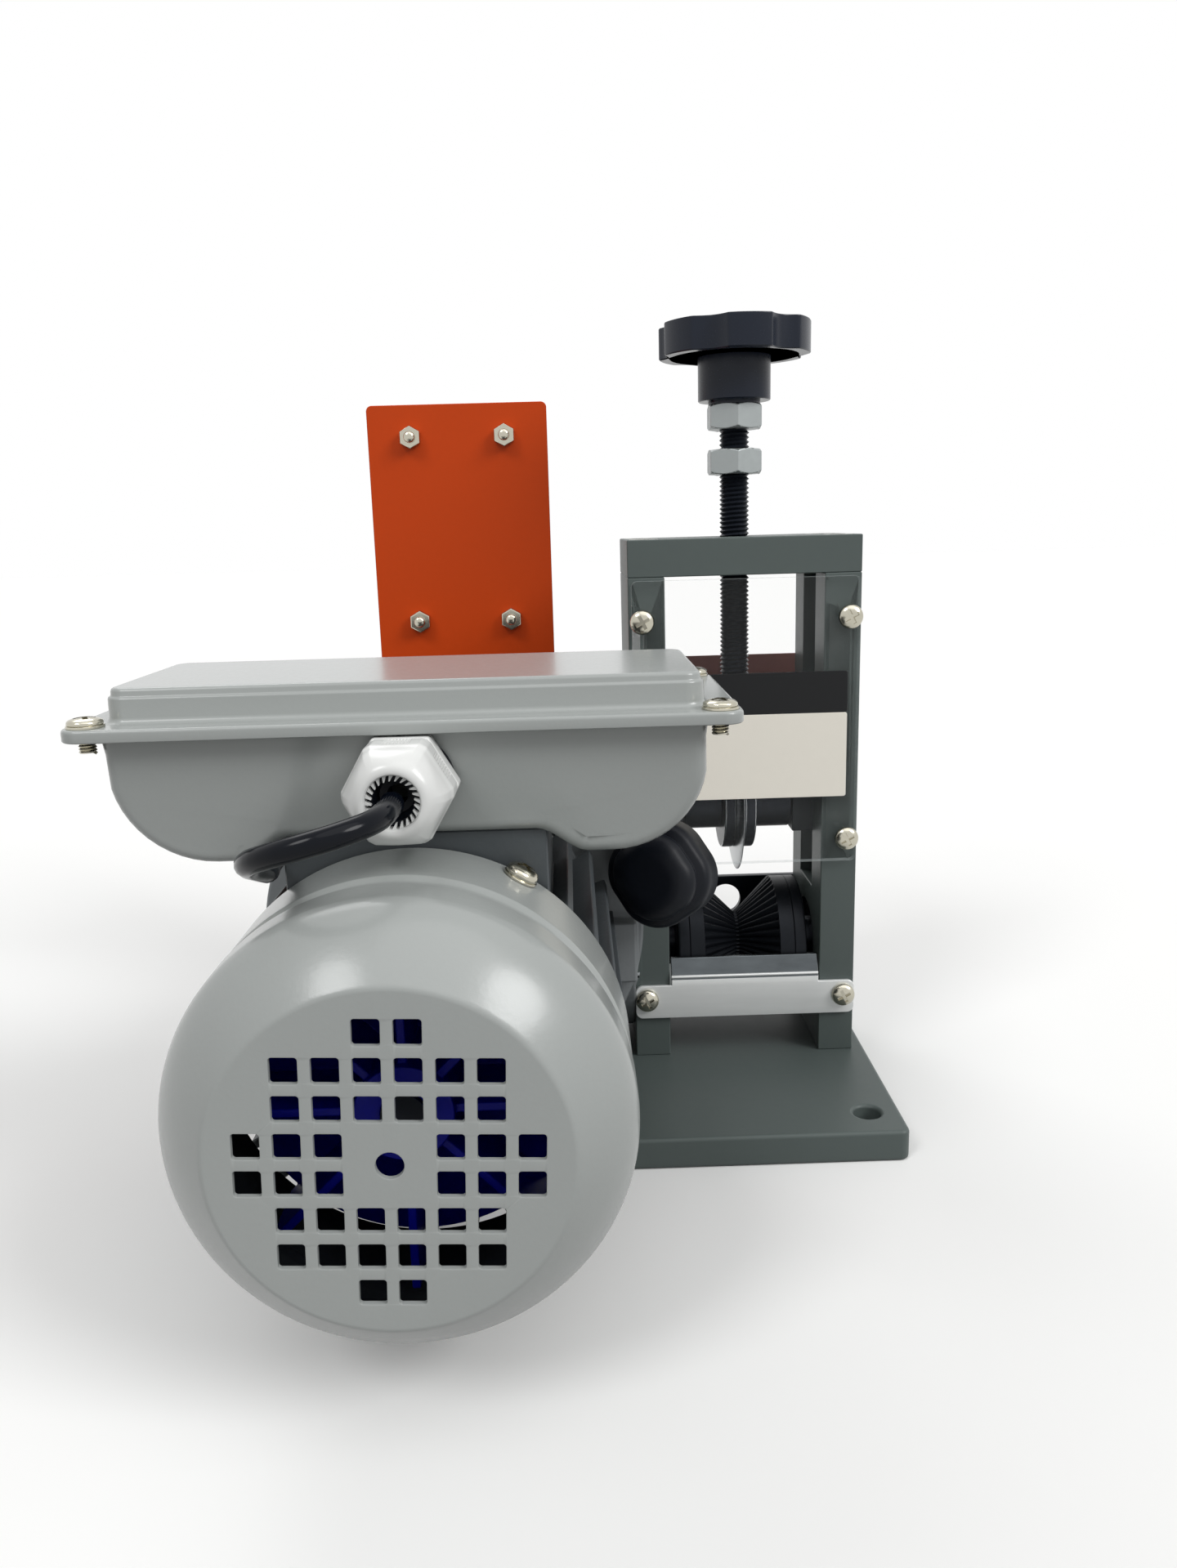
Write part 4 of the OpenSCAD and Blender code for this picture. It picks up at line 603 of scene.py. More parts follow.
# Width, depth, corner radius and height of the moulding's sections, from the grip to the face with the pins
PLUG_SECTIONS = (
    (10, 12, 4.8, -12.6), (16, 18, 7.6, -12.3), (20, 22, 9.2, -11.4), (22.4, 24.4, 10, -10),
    (23.4, 25.4, 10.4, -8.4), (23.4, 25.4, 10.4, -7.4), (22.6, 24.6, 10, -6.9), (23.4, 25.4, 10.4, -6.4),
    (26.4, 27.4, 11, -6), (28.6, 29, 11.6, -5), (29.6, 29.8, 12, -3.4), (30, 30, 12.2, -1.6),
    (30, 30, 12.2, 4.6), (29.4, 29.4, 11.9, 5.6), (28.2, 28.2, 11.4, 6),
)


def plug_shape():
    """A moulded plug: a rounded block with an oval grip at its back and a ribbed strain relief."""
    block = bmesh.new()
    bridge(block, [rounded_loop(block, *section, 64) for section in PLUG_SECTIONS])
    ribs = [(0, PLUG["neck"]), (PLUG["neck_r"], PLUG["neck"])]
    for k in range(PLUG["ribs"]):
        h = PLUG["rib_foot"] + k * PLUG["rib_step"]
        r = PLUG["rib_r"] - k * PLUG["rib_taper"]
        low = r - PLUG["groove"]
        ribs += [(r, h), (r, h + 1.6), (low, h + 1.9), (low, h + 2.8)]
    ribs += [(CORD["diameter"] / 2 + 0.4, PLUG["end"]), (0, PLUG["end"])]
    place = Vector(PLUG["place"]) * MM
    bm = placed(block, frame_at(place, PLUG["axis"], PLUG["up"]))
    join(bm, turned(ribs, 32), frame_at(place, PLUG["up"]))
    return bm


class STRIPPER_OT_cord(bpy.types.Operator):
    """Lay the power cord from the gland through its coil to the plug"""

    bl_idname = "stripper.cord"
    bl_label = "Power cord"

    def execute(self, context):
        points = [Vector(p) * MM for p in LEAD + coil_points() + TAIL[::-1]]
        curve = bpy.data.curves.new("power_cord", "CURVE")
        curve.dimensions = "3D"
        curve.bevel_depth = CORD["diameter"] / 2 * MM
        curve.bevel_resolution = 5
        curve.resolution_u = 4
        spline = curve.splines.new("BEZIER")
        spline.bezier_points.add(len(points) - 1)
        for knot, p in zip(spline.bezier_points, points):
            knot.co = p
            knot.handle_left_type = knot.handle_right_type = "AUTO"
        curve.materials.append(sheath())
        cord = bpy.data.objects.new("power_cord", curve)
        context.scene.collection.objects.link(cord)
        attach(cord, "machine")
        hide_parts("cord_lead", "cord_coil", "cord_tail")
        plug = piece("plug_moulding", plug_shape(), "plug_body", rubber(), ("plug_body",), smooth=40)
        # Woven strap: dull charcoal with a thread every half millimetre
        strap = finish("woven strap", linear("#26272a"), 0.9, specular=0.2, grain=0.5, depth=0.12, tint=0.2)
        tie = soften("coil_tie", 0.25, strap)
        # Nickel-plated brass pins: pale gold and smooth
        dress(finish("nickel-plated brass", linear("#cfcabb"), 0.2, metal=1, grain=2, depth=0.004), "plug_pins")
        return {"FINISHED"}


# Frame, guards and tray


class STRIPPER_OT_frame(bpy.types.Operator):
    """Ease the edges of the painted base plate, side plates and crossbar"""

    bl_idname = "stripper.frame"
    bl_label = "Base and frame"

    def execute(self, context):
        edge = context.scene.stripper_detail.frame_edge / MM
        soften("base_plate", 3 * edge, enamel(), segments=3)
        for node in ("left_side_plate", "right_side_plate", "top_crossbar"):
            soften(node, edge, enamel(), least=3)
        dress(plated(), "frame_bolts", "foot_bolts", "flange_bolts")
        return {"FINISHED"}


HEM = {"radius": 0.6, "past": 2.9, "y": -25.9, "z": 39.3}
# Height above which the tray's upper face is its sloped ledge, which carries the painted reflection of the
# roller
LEDGE_FOOT = 38
PLATE = {"half": 33.2, "foot": 102.5, "split": 130.8, "top": 144.5, "corner": 0.8, "skin": 0.3}


def printed_plate(low_z, high_z):
    """A thin blank plate with round corners, lying on Z 0."""
    bm = bmesh.new()
    width, height = 2 * PLATE["half"], high_z - low_z
    bridge(bm, [
        rounded_loop(bm, width - 2 * inset, height - 2 * inset, PLATE["corner"], depth)
        for inset, depth in ((0, 0.02), (0, PLATE["skin"] - 0.1), (0.1, PLATE["skin"]))
    ])
    return bm


class STRIPPER_OT_guards(bpy.types.Operator):
    """Make the clear guards, their blank plates and the two sheet-metal pieces below"""

    bl_idname = "stripper.guards"
    bl_label = "Guards and tray"

    def execute(self, context):
        # Cast acrylic: all but unseen face on, with a bright cut edge
        clear = finish("clear acrylic", linear("#f2f6f6"), 0.05, alpha=0.015)
        edge = finish("cut acrylic edge", linear("#dfe8e8"), 0.15, alpha=0.3)
        for node in ("outfeed_guard", "infeed_guard"):
            second_finish(soften(node, 0.2, clear), edge, lambda face: abs(face.normal.y) < 0.9)
        # Printed vinyl on card: flat ink with a low sheen. The infeed band's ink is written pale pink, lighter
        # than its own dark red: painted backlight through the vinyl, with its left-off white lettering mixed in
        card = painted("label", "cream printed vinyl", 0.5, specular=0.3, grain=4, tint=0.015)
        band = painted("label_band", "black printed vinyl", 0.45, specular=0.25, grain=4, tint=0.05)
        red = painted("infeed_band", "red printed vinyl", 0.5, specular=0.3, grain=4, tint=0.04)
        x = middle("outfeed_guard").x
        for node, face, head in (
            ("outfeed_guard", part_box("outfeed_guard")[0].y, band),
            ("infeed_guard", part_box("infeed_guard")[1].y, red),
        ):
            side = Y if face > 0 else -Y
            for part, z0, z1, ink in (
                ("band", PLATE["split"], PLATE["top"], head), ("card", PLATE["foot"], PLATE["split"], card),
            ):
                place = frame_at(Vector((x, face, (z0 + z1) / 2 * MM)), side)
                piece(f"{node.split('_')[0]}_{part}", placed(printed_plate(z0, z1), place), node, ink)
        # Bright rolled steel: pale, drawn out in long faint streaks; its sloped ledge gets a darker steel
        # colour, a painted reflection of the dark roller above it, on top of what its smooth metal really
        # mirrors
        strip = finish(
            "bright rolled steel", linear("#e6e8e7"), 0.3, metal=0.4, grain=4, depth=0.003, tint=0.04,
            stretch=(0.2, 2, 2),
        )
        ledge = finish(
            "polished steel ledge", linear("#5d6265"), 0.2, metal=0.9, grain=6, tint=0.3, stretch=(0.6, 2, 2)
        )
        tray = soften("outfeed_tray", 0.3, strip)
        ledge_foot = LEDGE_FOOT * MM
        # The ledge faces get the darker steel: a painted reflection of the dark roller
        second_finish(tray, ledge, lambda face: face.normal.z > 0.3 and face.center.z > ledge_foot)
        width = extent("feed_roller").x + 2 * HEM["past"]
        rod = [(0, 0), (HEM["radius"], 0), (HEM["radius"], width), (0, width)]
        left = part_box("feed_roller")[0].x / MM - HEM["past"]
        place = frame_at(Vector((left, HEM["y"], HEM["z"])) * MM, X)
        piece("tray_hem", placed(turned(rod, 16), place), "outfeed_tray", strip)
        soften("infeed_plate", 0.3, black_oxide())
        return {"FINISHED"}


# Screws


PAN = {
    "diameter": 7.9, "height": 2.8, "low_height": 1.8, "shank": 4, "pitch": 0.7, "thread": 0.3, "washer": 8.4,
    "washer_t": 0.6, "turn": 27,
}
SHANKS = {"pan_screws": 10, "lid_screws": 6.8, "fan_cover_screws": 10, "gearbox_screws": 11}


def cross_head(height):
    """A domed screw head with a cross recess, seated at Z 0."""
    recess = bpy.context.scene.stripper_detail.recess
    r = PAN["diameter"] / 2
    dome = [(0, 0), (r * 0.96, 0), (r, height * 0.12), (r, height * 0.35)]
    for a in range(15, 91, 15):
        t = math.radians(a)
        dome.append((r * math.cos(t), height * (0.35 + 0.65 * math.sin(t))))
    cutter = bmesh.new()
    arm, half, top = r * 0.6 * MM, r * 0.14 * MM, height * MM
    add_box(cutter, (-arm, -half, top - recess), (arm, half, top + recess))
    add_box(cutter, (-half, -arm, top - recess * 0.99), (half, arm, top + recess * 1.01))
    made = []
    for name, bm in (("head", turned(dome, 32)), ("cross", cutter)):
        bmesh.ops.recalc_face_normals(bm, faces=bm.faces)
        mesh = bpy.data.meshes.new(name)
        bm.to_mesh(mesh)
        bm.free()
        made.append(bpy.data.objects.new(name, mesh))
        bpy.context.scene.collection.objects.link(made[-1])
    cut = made[0].modifiers.new("cross", "BOOLEAN")
    cut.object = made[1]
    cut.solver = "EXACT"
    cut.use_self = True
    result = bmesh.new()
    result.from_object(made[0], bpy.context.evaluated_depsgraph_get())
    bmesh.ops.remove_doubles(result, verts=result.verts, dist=1e-6)
    for obj in made:
        mesh = obj.data
        bpy.data.objects.remove(obj)
        bpy.data.meshes.remove(mesh)
    return result


def screw_set(node, places, height, washer=False, thread=False):
    """Seats a screw at each place: head, plain or threaded shank, and a washer."""
    turn = Matrix.Rotation(math.radians(PAN["turn"]), 4, "Z")
    bm = placed(cross_head(height), *[place @ turn for place in places])
    r, length = PAN["shank"] / 2, SHANKS[node]
    if thread:
        shank = threaded(r, length, PAN["pitch"], PAN["thread"], 20)
        drop = Matrix.Translation((0, 0, -length * MM))
    else:
        shank = turned([(0, -length), (r, -length), (r, 0), (0, 0)], 20)
        drop = Matrix()
    join(bm, shank, *[place @ drop for place in places])
    if washer:
        w, t = PAN["washer"] / 2, PAN["washer_t"]
        disc = turned([(r, -t), (w - 0.1, -t), (w, 0.1 - t), (w, -0.1), (w - 0.1, 0), (r, 0)], 32, True)
        join(bm, disc, *places)
    piece(f"{node}_shape", bm, node, plated(), (node,))


def faced(node, out_of, height):
    """Places under the heads of a node's screws; out_of gives the way each head faces."""
    places = []
    for low, high in solids(node):
        mid, size = (low + high) / 2, high - low
        out = out_of(mid, size)
        reach = sum(abs(a * b) for a, b in zip(out, size)) / 2
        places.append(frame_at(mid + out * (reach - height * MM), out, Y if out == Z else Z))
    return places


class STRIPPER_OT_screws(bpy.types.Operator):
    """Give the pan-head screws their cross recesses, washers and threads"""

    bl_idname = "stripper.screws"
    bl_label = "Screws"

    def execute(self, context):
        height, low = PAN["height"], PAN["low_height"]
        panels = faced("pan_screws", lambda mid, size: Y * math.copysign(1, mid.y), height)
        screw_set("pan_screws", panels, height)
        lid = faced("lid_screws", lambda mid, size: Z, low)
        screw_set("lid_screws", lid, low, washer=True, thread=True)
        axis = middle("fan_cover")
        seat = (COVER["radius"] - COVER["rear_in"] + PAN["washer_t"]) * MM
        around = []
        for corners in solids("fan_cover_screws"):
            mid = sum(corners, Vector()) / 2
            out = Vector((mid.x - axis.x, 0, mid.z - axis.z)).normalized()
            around.append(frame_at(Vector((axis.x, mid.y, axis.z)) + out * seat, out, Y))
        screw_set("fan_cover_screws", around, height, washer=True)
        left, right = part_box("gearbox_covers")[0].x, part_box("output_flange")[1].x

        def gearbox_side(mid, size):
            if size.z > size.x:
                return Z
            return -X if mid.x - size.x / 2 < left or mid.x + size.x / 2 > right else X

        screw_set("gearbox_screws", faced("gearbox_screws", gearbox_side, height), height)
        return {"FINISHED"}


# Cutting head and roller


KNOB = {"radius": 25, "rim": 11, "hub": 12, "collar": 8.6, "lobes": 6, "hollow": 2.8, "half": 14, "turn": 4.2}
SCREW = {"radius": 5, "thread": 0.75, "button": 4, "button_r": 8}
# Distance from the blade's axis past which the flanges' bevels are given bright ground steel: a painted
# highlight along their dark rims
RIM_HIGHLIGHT = 15.5
ROLLER = {"v": 13, "bore": 7.06, "points": 8}


def knob_shape():
    """The star knob: a rim with shallow hollows between its lobes, on a round hub with a collar."""
    count = KNOB["lobes"] * 40
    step = 2 * math.pi / KNOB["lobes"]
    half, turn = math.radians(KNOB["half"]), math.radians(KNOB["turn"])

    def hollows(a):
        off = abs((a - turn + step / 2) % step - step / 2)
        return -KNOB["hollow"] * max(0, 1 - (off / half) ** 2)

    top = extent("star_knob").z
    foot = top - KNOB["rim"]
    radius, hub, collar = KNOB["radius"], KNOB["hub"], KNOB["collar"]
    bm = bmesh.new()
    plain = [
        (collar, 0), (collar, 1), (hub - 0.3, 1), (hub, 1.3), (hub, foot + 2.5), (radius - 4, foot + 2.5),
        (radius - 4, foot + 0.2), (radius - 3.8, foot),
    ]
    rim = [
        (radius - 0.4, foot), (radius - 0.05, foot + 0.35), (radius - 0.05, top - 1.2),
        (radius - 0.3, top - 0.8),
    ]
    dome = [(radius - 5, top - 0.45), (radius - 9, top - 0.15), (radius - 15, top)]
    loops = [circle_loop(bm, r, h, count) for r, h in plain]
    loops += [circle_loop(bm, r, h, count, hollows) for r, h in rim]
    loops += [circle_loop(bm, r, h, count) for r, h in dome]
    bridge(bm, loops)
    bmesh.ops.translate(bm, verts=bm.verts, vec=underside("star_knob"))
    return bm


class STRIPPER_OT_cutting_head(bpy.types.Operator):
    """Make the blade, its carriage and the threaded feed screw with knob and nuts"""

    bl_idname = "stripper.cutting_head"
    bl_label = "Cutting head"

    def execute(self, context):
        # Phosphated steel: a soft dark grey with little gleam
        phosphate = finish(
            "phosphated steel", linear("#2c2f32"), 0.5, metal=0.4, specular=0.3, grain=1.5, depth=0.012,
            tint=0.1,
        )
        soften("blade_carriage", 0.4, phosphate)
        soften("blade_disc", 0.05, ground_steel(), segments=1, limit=60)
        axis = middle("blade_disc")
        flanges = soften("blade_flanges", 0.5, black_oxide())
        # Ground steel on the flanges' outer bevels: a painted highlight along their dark rims
        second_finish(
            flanges, ground_steel(),
            lambda face: 0.2 < abs(face.normal.x) < 0.95 and (face.center - axis).yz.length > RIM_HIGHLIGHT * MM,
        )
        dress(ground_steel(), "worm")
        dress(black_oxide(), "blade_shaft", "roller_shaft", "motor_shaft")
        button, r = SCREW["button"], SCREW["button_r"]
        foot = Matrix.Translation(underside("feed_screw"))
        end = [(0, 0), (r - 0.4, 0), (r, 0.4), (r, button - 0.4), (r - 0.4, button), (0, button)]
        bm = placed(turned(end), foot)
        length = extent("feed_screw").z - button
        pitch = context.scene.stripper_detail.thread_pitch / MM
        rod = threaded(SCREW["radius"], length, pitch, SCREW["thread"], 28)
        join(bm, rod, foot @ Matrix.Translation((0, 0, button * MM)))
        piece("feed_screw_thread", bm, "feed_screw", black_oxide(), ("feed_screw",), smooth=50)
        piece("star_knob_shape", knob_shape(), "star_knob", black_plastic(), ("star_knob",))
        soften("screw_nuts", 0.25, zinc())
        return {"FINISHED"}


class STRIPPER_OT_roller(bpy.types.Operator):
    """Cut the teeth of the V roller"""

    bl_idname = "stripper.roller"
    bl_label = "Feed roller"

    def execute(self, context):
        detail = context.scene.stripper_detail
        half, _, outer = extent("feed_roller") / 2
        v, bore, count = ROLLER["v"], ROLLER["bore"], detail.teeth * ROLLER["points"]

        def teeth(share):
            depth = detail.tooth_depth / MM * share
            return lambda a: -depth * (1 - abs(math.sin(detail.teeth * a / 2)))

        end = [
            (bore, half, 0), (outer - 1, half, 0), (outer - 0.3, half - 0.3, 0), (outer, half - 1, 0),
            (outer, half - 4, 0), (outer - 0.25, half - 4.2, 0), (outer, half - 4.4, 0), (outer, v + 0.2, 0),
            (outer - 0.1, v, 1), (outer - v / 2, v / 2, 1), (outer - v + 0.5, 0.5, 0.7),
        ]
        bm = bmesh.new()
        steps = end + [(r, -h, share) for r, h, share in reversed(end)]
        loops = [circle_loop(bm, r, h, count, teeth(share) if share else None) for r, h, share in steps]
        bridge(bm, loops + loops[:1], (False, False))
        bmesh.ops.transform(bm, matrix=frame_at(middle("feed_roller"), X), verts=bm.verts)
        # Hardened and blackened steel: nearly black, with a dull gleam on each tooth
        steel = finish(
            "blackened hardened steel", linear("#16191e"), 0.4, metal=0.5, specular=0.25, grain=1.2,
            depth=0.015, tint=0.2,
        )
        piece("toothed_roller", bm, "feed_roller", steel, ("feed_roller",), smooth=25)
        return {"FINISHED"}


# Motor and gearbox


VENT = {"pitch": 8.1, "width": 5.6, "corner": 0.7, "lip": 0.25, "wall": 1.5, "hole": 5.8, "turn": 2.2}
VENT_ROWS = ("...**...", ".******.", ".******.", "***..***", "***..***", ".******.", ".******.", "...**...")
COVER = {"flat": 36.8, "radius": 50.75, "shoulder": 17, "length": 54, "rear_in": 0.25}


def cover_profile(inset):
    """Half outline of the fan cover as (radius, distance behind its face), inset from its outside."""
    flat, radius = COVER["flat"], COVER["radius"] - inset
    rear = radius - COVER["rear_in"]
    start, turn, end = (flat + 1.6, 0.75 + inset), (radius, 10.4 + inset / 2), (radius, COVER["shoulder"])
    out = [(flat, inset), (flat + 0.5, inset + 0.06), (flat + 1, inset + 0.28)]
    for k in range(15):
        t = k / 14
        out.append(tuple(
            (1 - t) ** 2 * a + 2 * t * (1 - t) * b + t * t * c for a, b, c in zip(start, turn, end)
        ))
    out += [
        (radius, 25.4), (radius - 0.2, 26), (radius - 1.1, 27.2), (radius - 1.25, 28), (radius - 1.25, 30.2),
        (radius - 1.1, 31), (radius - 0.4, 32), (rear, 32.6), (rear, COVER["length"]),
    ]
    return out


def face_along(faces, way, side=0):
    """Turns faces to look along a way that is given for each face's middle, and picks their finish."""
    for face in faces:
        face.normal_update()
        if face.normal.dot(way(face.calc_center_median())) < 0:
            face.normal_flip()
        face.material_index = side


def fan_cover_shape():
    """The fan cover: a turned shell whose flat face is pierced by rows of square slots."""
    bm = bmesh.new()
    done = set()

    def fresh():
        made = set(bm.faces) - done
        done.update(made)
        return made

    count, wall, lip = 128, VENT["wall"], VENT["lip"]
    outer, inner = [
        [circle_loop(bm, r, h, count) for r, h in cover_profile(inset)] for inset in (0, wall)
    ]
    heart = Vector((0, 0, COVER["shoulder"] * MM))
    bridge(bm, outer, (False, False))
    face_along(fresh(), lambda c: c - heart)
    # The inner skin takes the second finish: the painted shade inside the cover
    bridge(bm, inner, (False, False))
    face_along(fresh(), lambda c: heart - c, 1)
    bridge(bm, [outer[-1], inner[-1]], (False, False))
    face_along(fresh(), lambda c: Z)
    near, far = outer[0], inner[0]
    holes = [(0, 0, VENT["hole"], VENT["hole"] / 2)]
    for row, line in enumerate(VENT_ROWS):
        for column, mark in enumerate(line):
            if mark == "*":
                across, down = (column - 3.5) * VENT["pitch"], (row - 3.5) * VENT["pitch"]
                holes.append((across, down, VENT["width"], VENT["corner"]))
    for x, y, width, corner in holes:
        loops = [
            rounded_loop(bm, width + 2 * grow, width + 2 * grow, corner + grow, depth, 24, (x, y))
            for grow, depth in ((lip, 0), (lip * 0.3, lip * 0.3), (0, lip), (0, wall - lip), (lip, wall))
        ]
        bridge(bm, loops, (False, False))
        slot = Vector((x, y, wall / 2)) * MM
        face_along(fresh(), lambda c: slot - c)
        near, far = near + loops[0], far + loops[-1]
    # The back of the flat face, side 1, takes the second finish: the painted shade
    for side, (edges, way) in enumerate(((near, -Z), (far, Z))):
        bmesh.ops.triangle_fill(bm, edges=edges, use_beauty=True, use_dissolve=False, normal=way)
        face_along(fresh(), lambda c: way, side)
    place = facing("fan_cover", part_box("fan_cover")[0].y, Y)
    turn = Matrix.Rotation(math.radians(VENT["turn"]), 4, "Z")
    bmesh.ops.transform(bm, matrix=place @ turn, verts=bm.verts)
    return bm


class STRIPPER_OT_motor(bpy.types.Operator):
    """Finish the motor, its fan and the fan cover"""

    bl_idname = "stripper.motor"
    bl_label = "Motor"

    def execute(self, context):
        # Sprayed enamel on extruded fins: flat grey with a fine grain, its grey written darker than the paint
        # as painted shade for the fins in the gap under the terminal box
        paint = painted(
            "motor_paint", "grey motor enamel", 0.45, specular=0.35, grain=1.4, depth=0.04, tint=0.05
        )
        soften("motor_body", 0.35, paint, segments=1)
        soften("motor_flange", 1.0, cast())
        # Dark grey inside the fan cover and on the rear end shield: painted shade, flat and dark, so that the
        # slots read as holes
        cover_shade = finish("dark grey primer", linear("#2b2f34"), 0.8, specular=0.2, grain=1, depth=0.02, tint=0.1)
        soften("rear_end_shield", 0.5, cover_shade)
        cover = piece(
            "fan_cover_shell", fan_cover_shape(), "fan_cover", powder(), ("fan_cover",), smooth=40,
            turned_out=True,
        )
        cover.data.materials.append(cover_shade)
        # Moulded polypropylene: strong blue, with dark hollows between its blades
        plastic = painted("fan", "blue moulded polypropylene", 0.4, specular=0.3, grain=2, depth=0.01, tint=0.1)
        soften("cooling_fan", 0.4, plastic)
        # Stacked laminations: dull steel with fine rings across the stack
        core = finish(
            "lamination steel", linear("#6a6d70"), 0.45, metal=0.9, grain=1, depth=0.02, stretch=(1, 12, 1)
        )
        dress(core, "stator_core", "rotor_core")
        # Varnished copper wire: brown-orange and lumpy
        copper = finish("varnished copper", linear("#a5602c"), 0.35, metal=0.8, grain=1.2, depth=0.15, tint=0.2)
        dress(copper, "stator_windings")
        # Bearing steel: smooth and silver
        race = finish("bearing steel", linear("#a9adb1"), 0.25, metal=1, grain=2, depth=0.004)
        dress(race, "motor_bearings", "gearbox_bearings", "roller_bearings", "blade_bearings")
        return {"FINISHED"}


class STRIPPER_OT_gearbox(bpy.types.Operator):
    """Finish the worm gearbox"""

    bl_idname = "stripper.gearbox"
    bl_label = "Gearbox"

    def execute(self, context):
        soften("gearbox_housing", 1.2, cast(), segments=3, least=3)
        soften("gearbox_covers", 0.6, cast())
        soften("output_flange", 0.8, cast())
        # Turned gear bronze: golden and smooth
        bronze = finish("gear bronze", linear("#b8893f"), 0.3, metal=1, grain=2, depth=0.006, tint=0.08)
        dress(bronze, "worm_wheel")
        return {"FINISHED"}


# Terminal box and cable gland


BOX = {
    "side": 7.75, "end": 4, "rim": 1.5, "rim_in": 1.2, "lobe": 22, "drop": 6, "flat": 9, "slope": 6,
    "height": 25, "edge": 3, "draft": 4.5, "border": 1.2, "corner": 5,
}


def box_section(half, rim):
    """Outline of the terminal box across its length: two round lobes with a raised floor between them."""
    lobe = BOX["lobe"]
    low = rim - BOX["height"] - BOX["drop"]
    lobe_x = half - lobe
    left = [(-half, rim), (0.4 - half, (rim + low + lobe) / 2 + 1)]
    for k in range(1, 13):
        a = math.radians(180 + 7.5 * k)
        left.append((-lobe_x + lobe * math.cos(a), low + lobe + lobe * math.sin(a)))
    for k in range(9):
        t = k / 8
        ease = t * t * (3 - 2 * t)
        left.append((-lobe_x + BOX["flat"] - 3 + (BOX["slope"] + 6) * t, low + BOX["drop"] * ease))
    return left + [(-x, z) for x, z in reversed(left)]


def terminal_box_shape():
    """The drawn box: its outline pushed along Y, with leaning walls and round edges, under a flat rim."""
    width, length, _ = extent("terminal_box")
    half, reach = width / 2 - BOX["side"], length / 2 - BOX["end"]
    bm = bmesh.new()
    outline = chain(bm, [(x, -reach, z) for x, z in box_section(half, 0)], closed=True)
    bmesh.ops.edgeloop_fill(bm, edges=[part for part in outline if isinstance(part, bmesh.types.BMEdge)])
    pushed = bmesh.ops.extrude_face_region(bm, geom=bm.faces[:])["geom"]
    moved = [part for part in pushed if isinstance(part, bmesh.types.BMVert)]
    bmesh.ops.translate(bm, verts=moved, vec=(0, 2 * reach * MM, 0))
    bmesh.ops.recalc_face_normals(bm, faces=bm.faces)
    for v in bm.verts:
        v.co.y *= 1 + BOX["draft"] / reach * v.co.z / (BOX["height"] * MM)
    turn = math.radians(60)
    ends = [
        e for e in bm.edges
        if e.calc_face_angle(0) > turn and e.verts[0].co.y * e.verts[1].co.y > 0
        and min(v.co.z for v in e.verts) < -2 * MM
    ]
    ease(bm, ends, BOX["edge"], 6, clamp=True)
    bm.normal_update()
    walls = [face for face in bm.faces if len(face.verts) > 20 and abs(face.normal.y) > 0.8]
    bmesh.ops.inset_individual(bm, faces=walls, thickness=BOX["border"] * MM, use_even_offset=True)
    rim = bmesh.new()
    inset = BOX["rim_in"]
    bridge(rim, [
        rounded_loop(rim, width - 2 * inset, length - 2 * inset, BOX["corner"] - inset, height)
        for height in (0, BOX["rim"])
    ])
    join(bm, rim)
    place = middle("terminal_box")
    place.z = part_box("terminal_box")[1].z - BOX["rim"] * MM
    bmesh.ops.translate(bm, verts=bm.verts, vec=place)
    return bm


LID = {"skirt": 1.5, "rim": 1.5, "step": 8, "bead": 0.8, "corner": 5}


def lid_shape():
    """The pressed lid: a rim whose skirt laps the box's rim, and a raised top with a small step."""
    width, length, top = extent("box_lid")
    rim, skirt, step = LID["rim"], LID["skirt"], LID["step"]
    ledge = step + LID["bead"]
    brim = (
        (1.2, -skirt), (0.3, -skirt), (0, 0.3 - skirt), (0, rim - 0.9), (0.12, rim - 0.4), (0.45, rim - 0.1),
        (0.9, rim),
    )
    crown = (
        (step - 1.6, rim), (step - 0.8, rim + 0.15), (step - 0.25, rim + 0.6), (step, rim + 1.4),
        (step + 0.1, top - 2.6), (step + 0.25, top - 2.2), (ledge - 0.2, top - 2), (ledge, top - 1.7),
        (ledge + 0.05, top - 0.9), (ledge + 0.25, top - 0.4), (ledge + 0.65, top - 0.1), (ledge + 1.2, top),
    )
    bm = bmesh.new()
    bridge(bm, [
        rounded_loop(bm, width - 2 * inset, length - 2 * inset, radius - inset, height, 48)
        for radius, rows in ((LID["corner"], brim), (LID["corner"] + step, crown)) for inset, height in rows
    ])
    bmesh.ops.translate(bm, verts=bm.verts, vec=underside("box_lid"))
    return bm


GLAND = {
    "flats": 22, "corner": 24.4, "mouth": 11.6, "flank": 8, "length": 16, "knurls": 96, "claws": 24, "wall": 3,
}
CLAW = {"tip": 1.3, "root": 0.02, "half": 0.42, "near": 0.9, "far": 2.6, "lean": 0.5, "drop": 0.6}
# Outline of the washer between the gland and the box's leaning wall
WASHER = [(8, -3), (11.2, -3), (11.2, 0.05), (8, 0.05)]


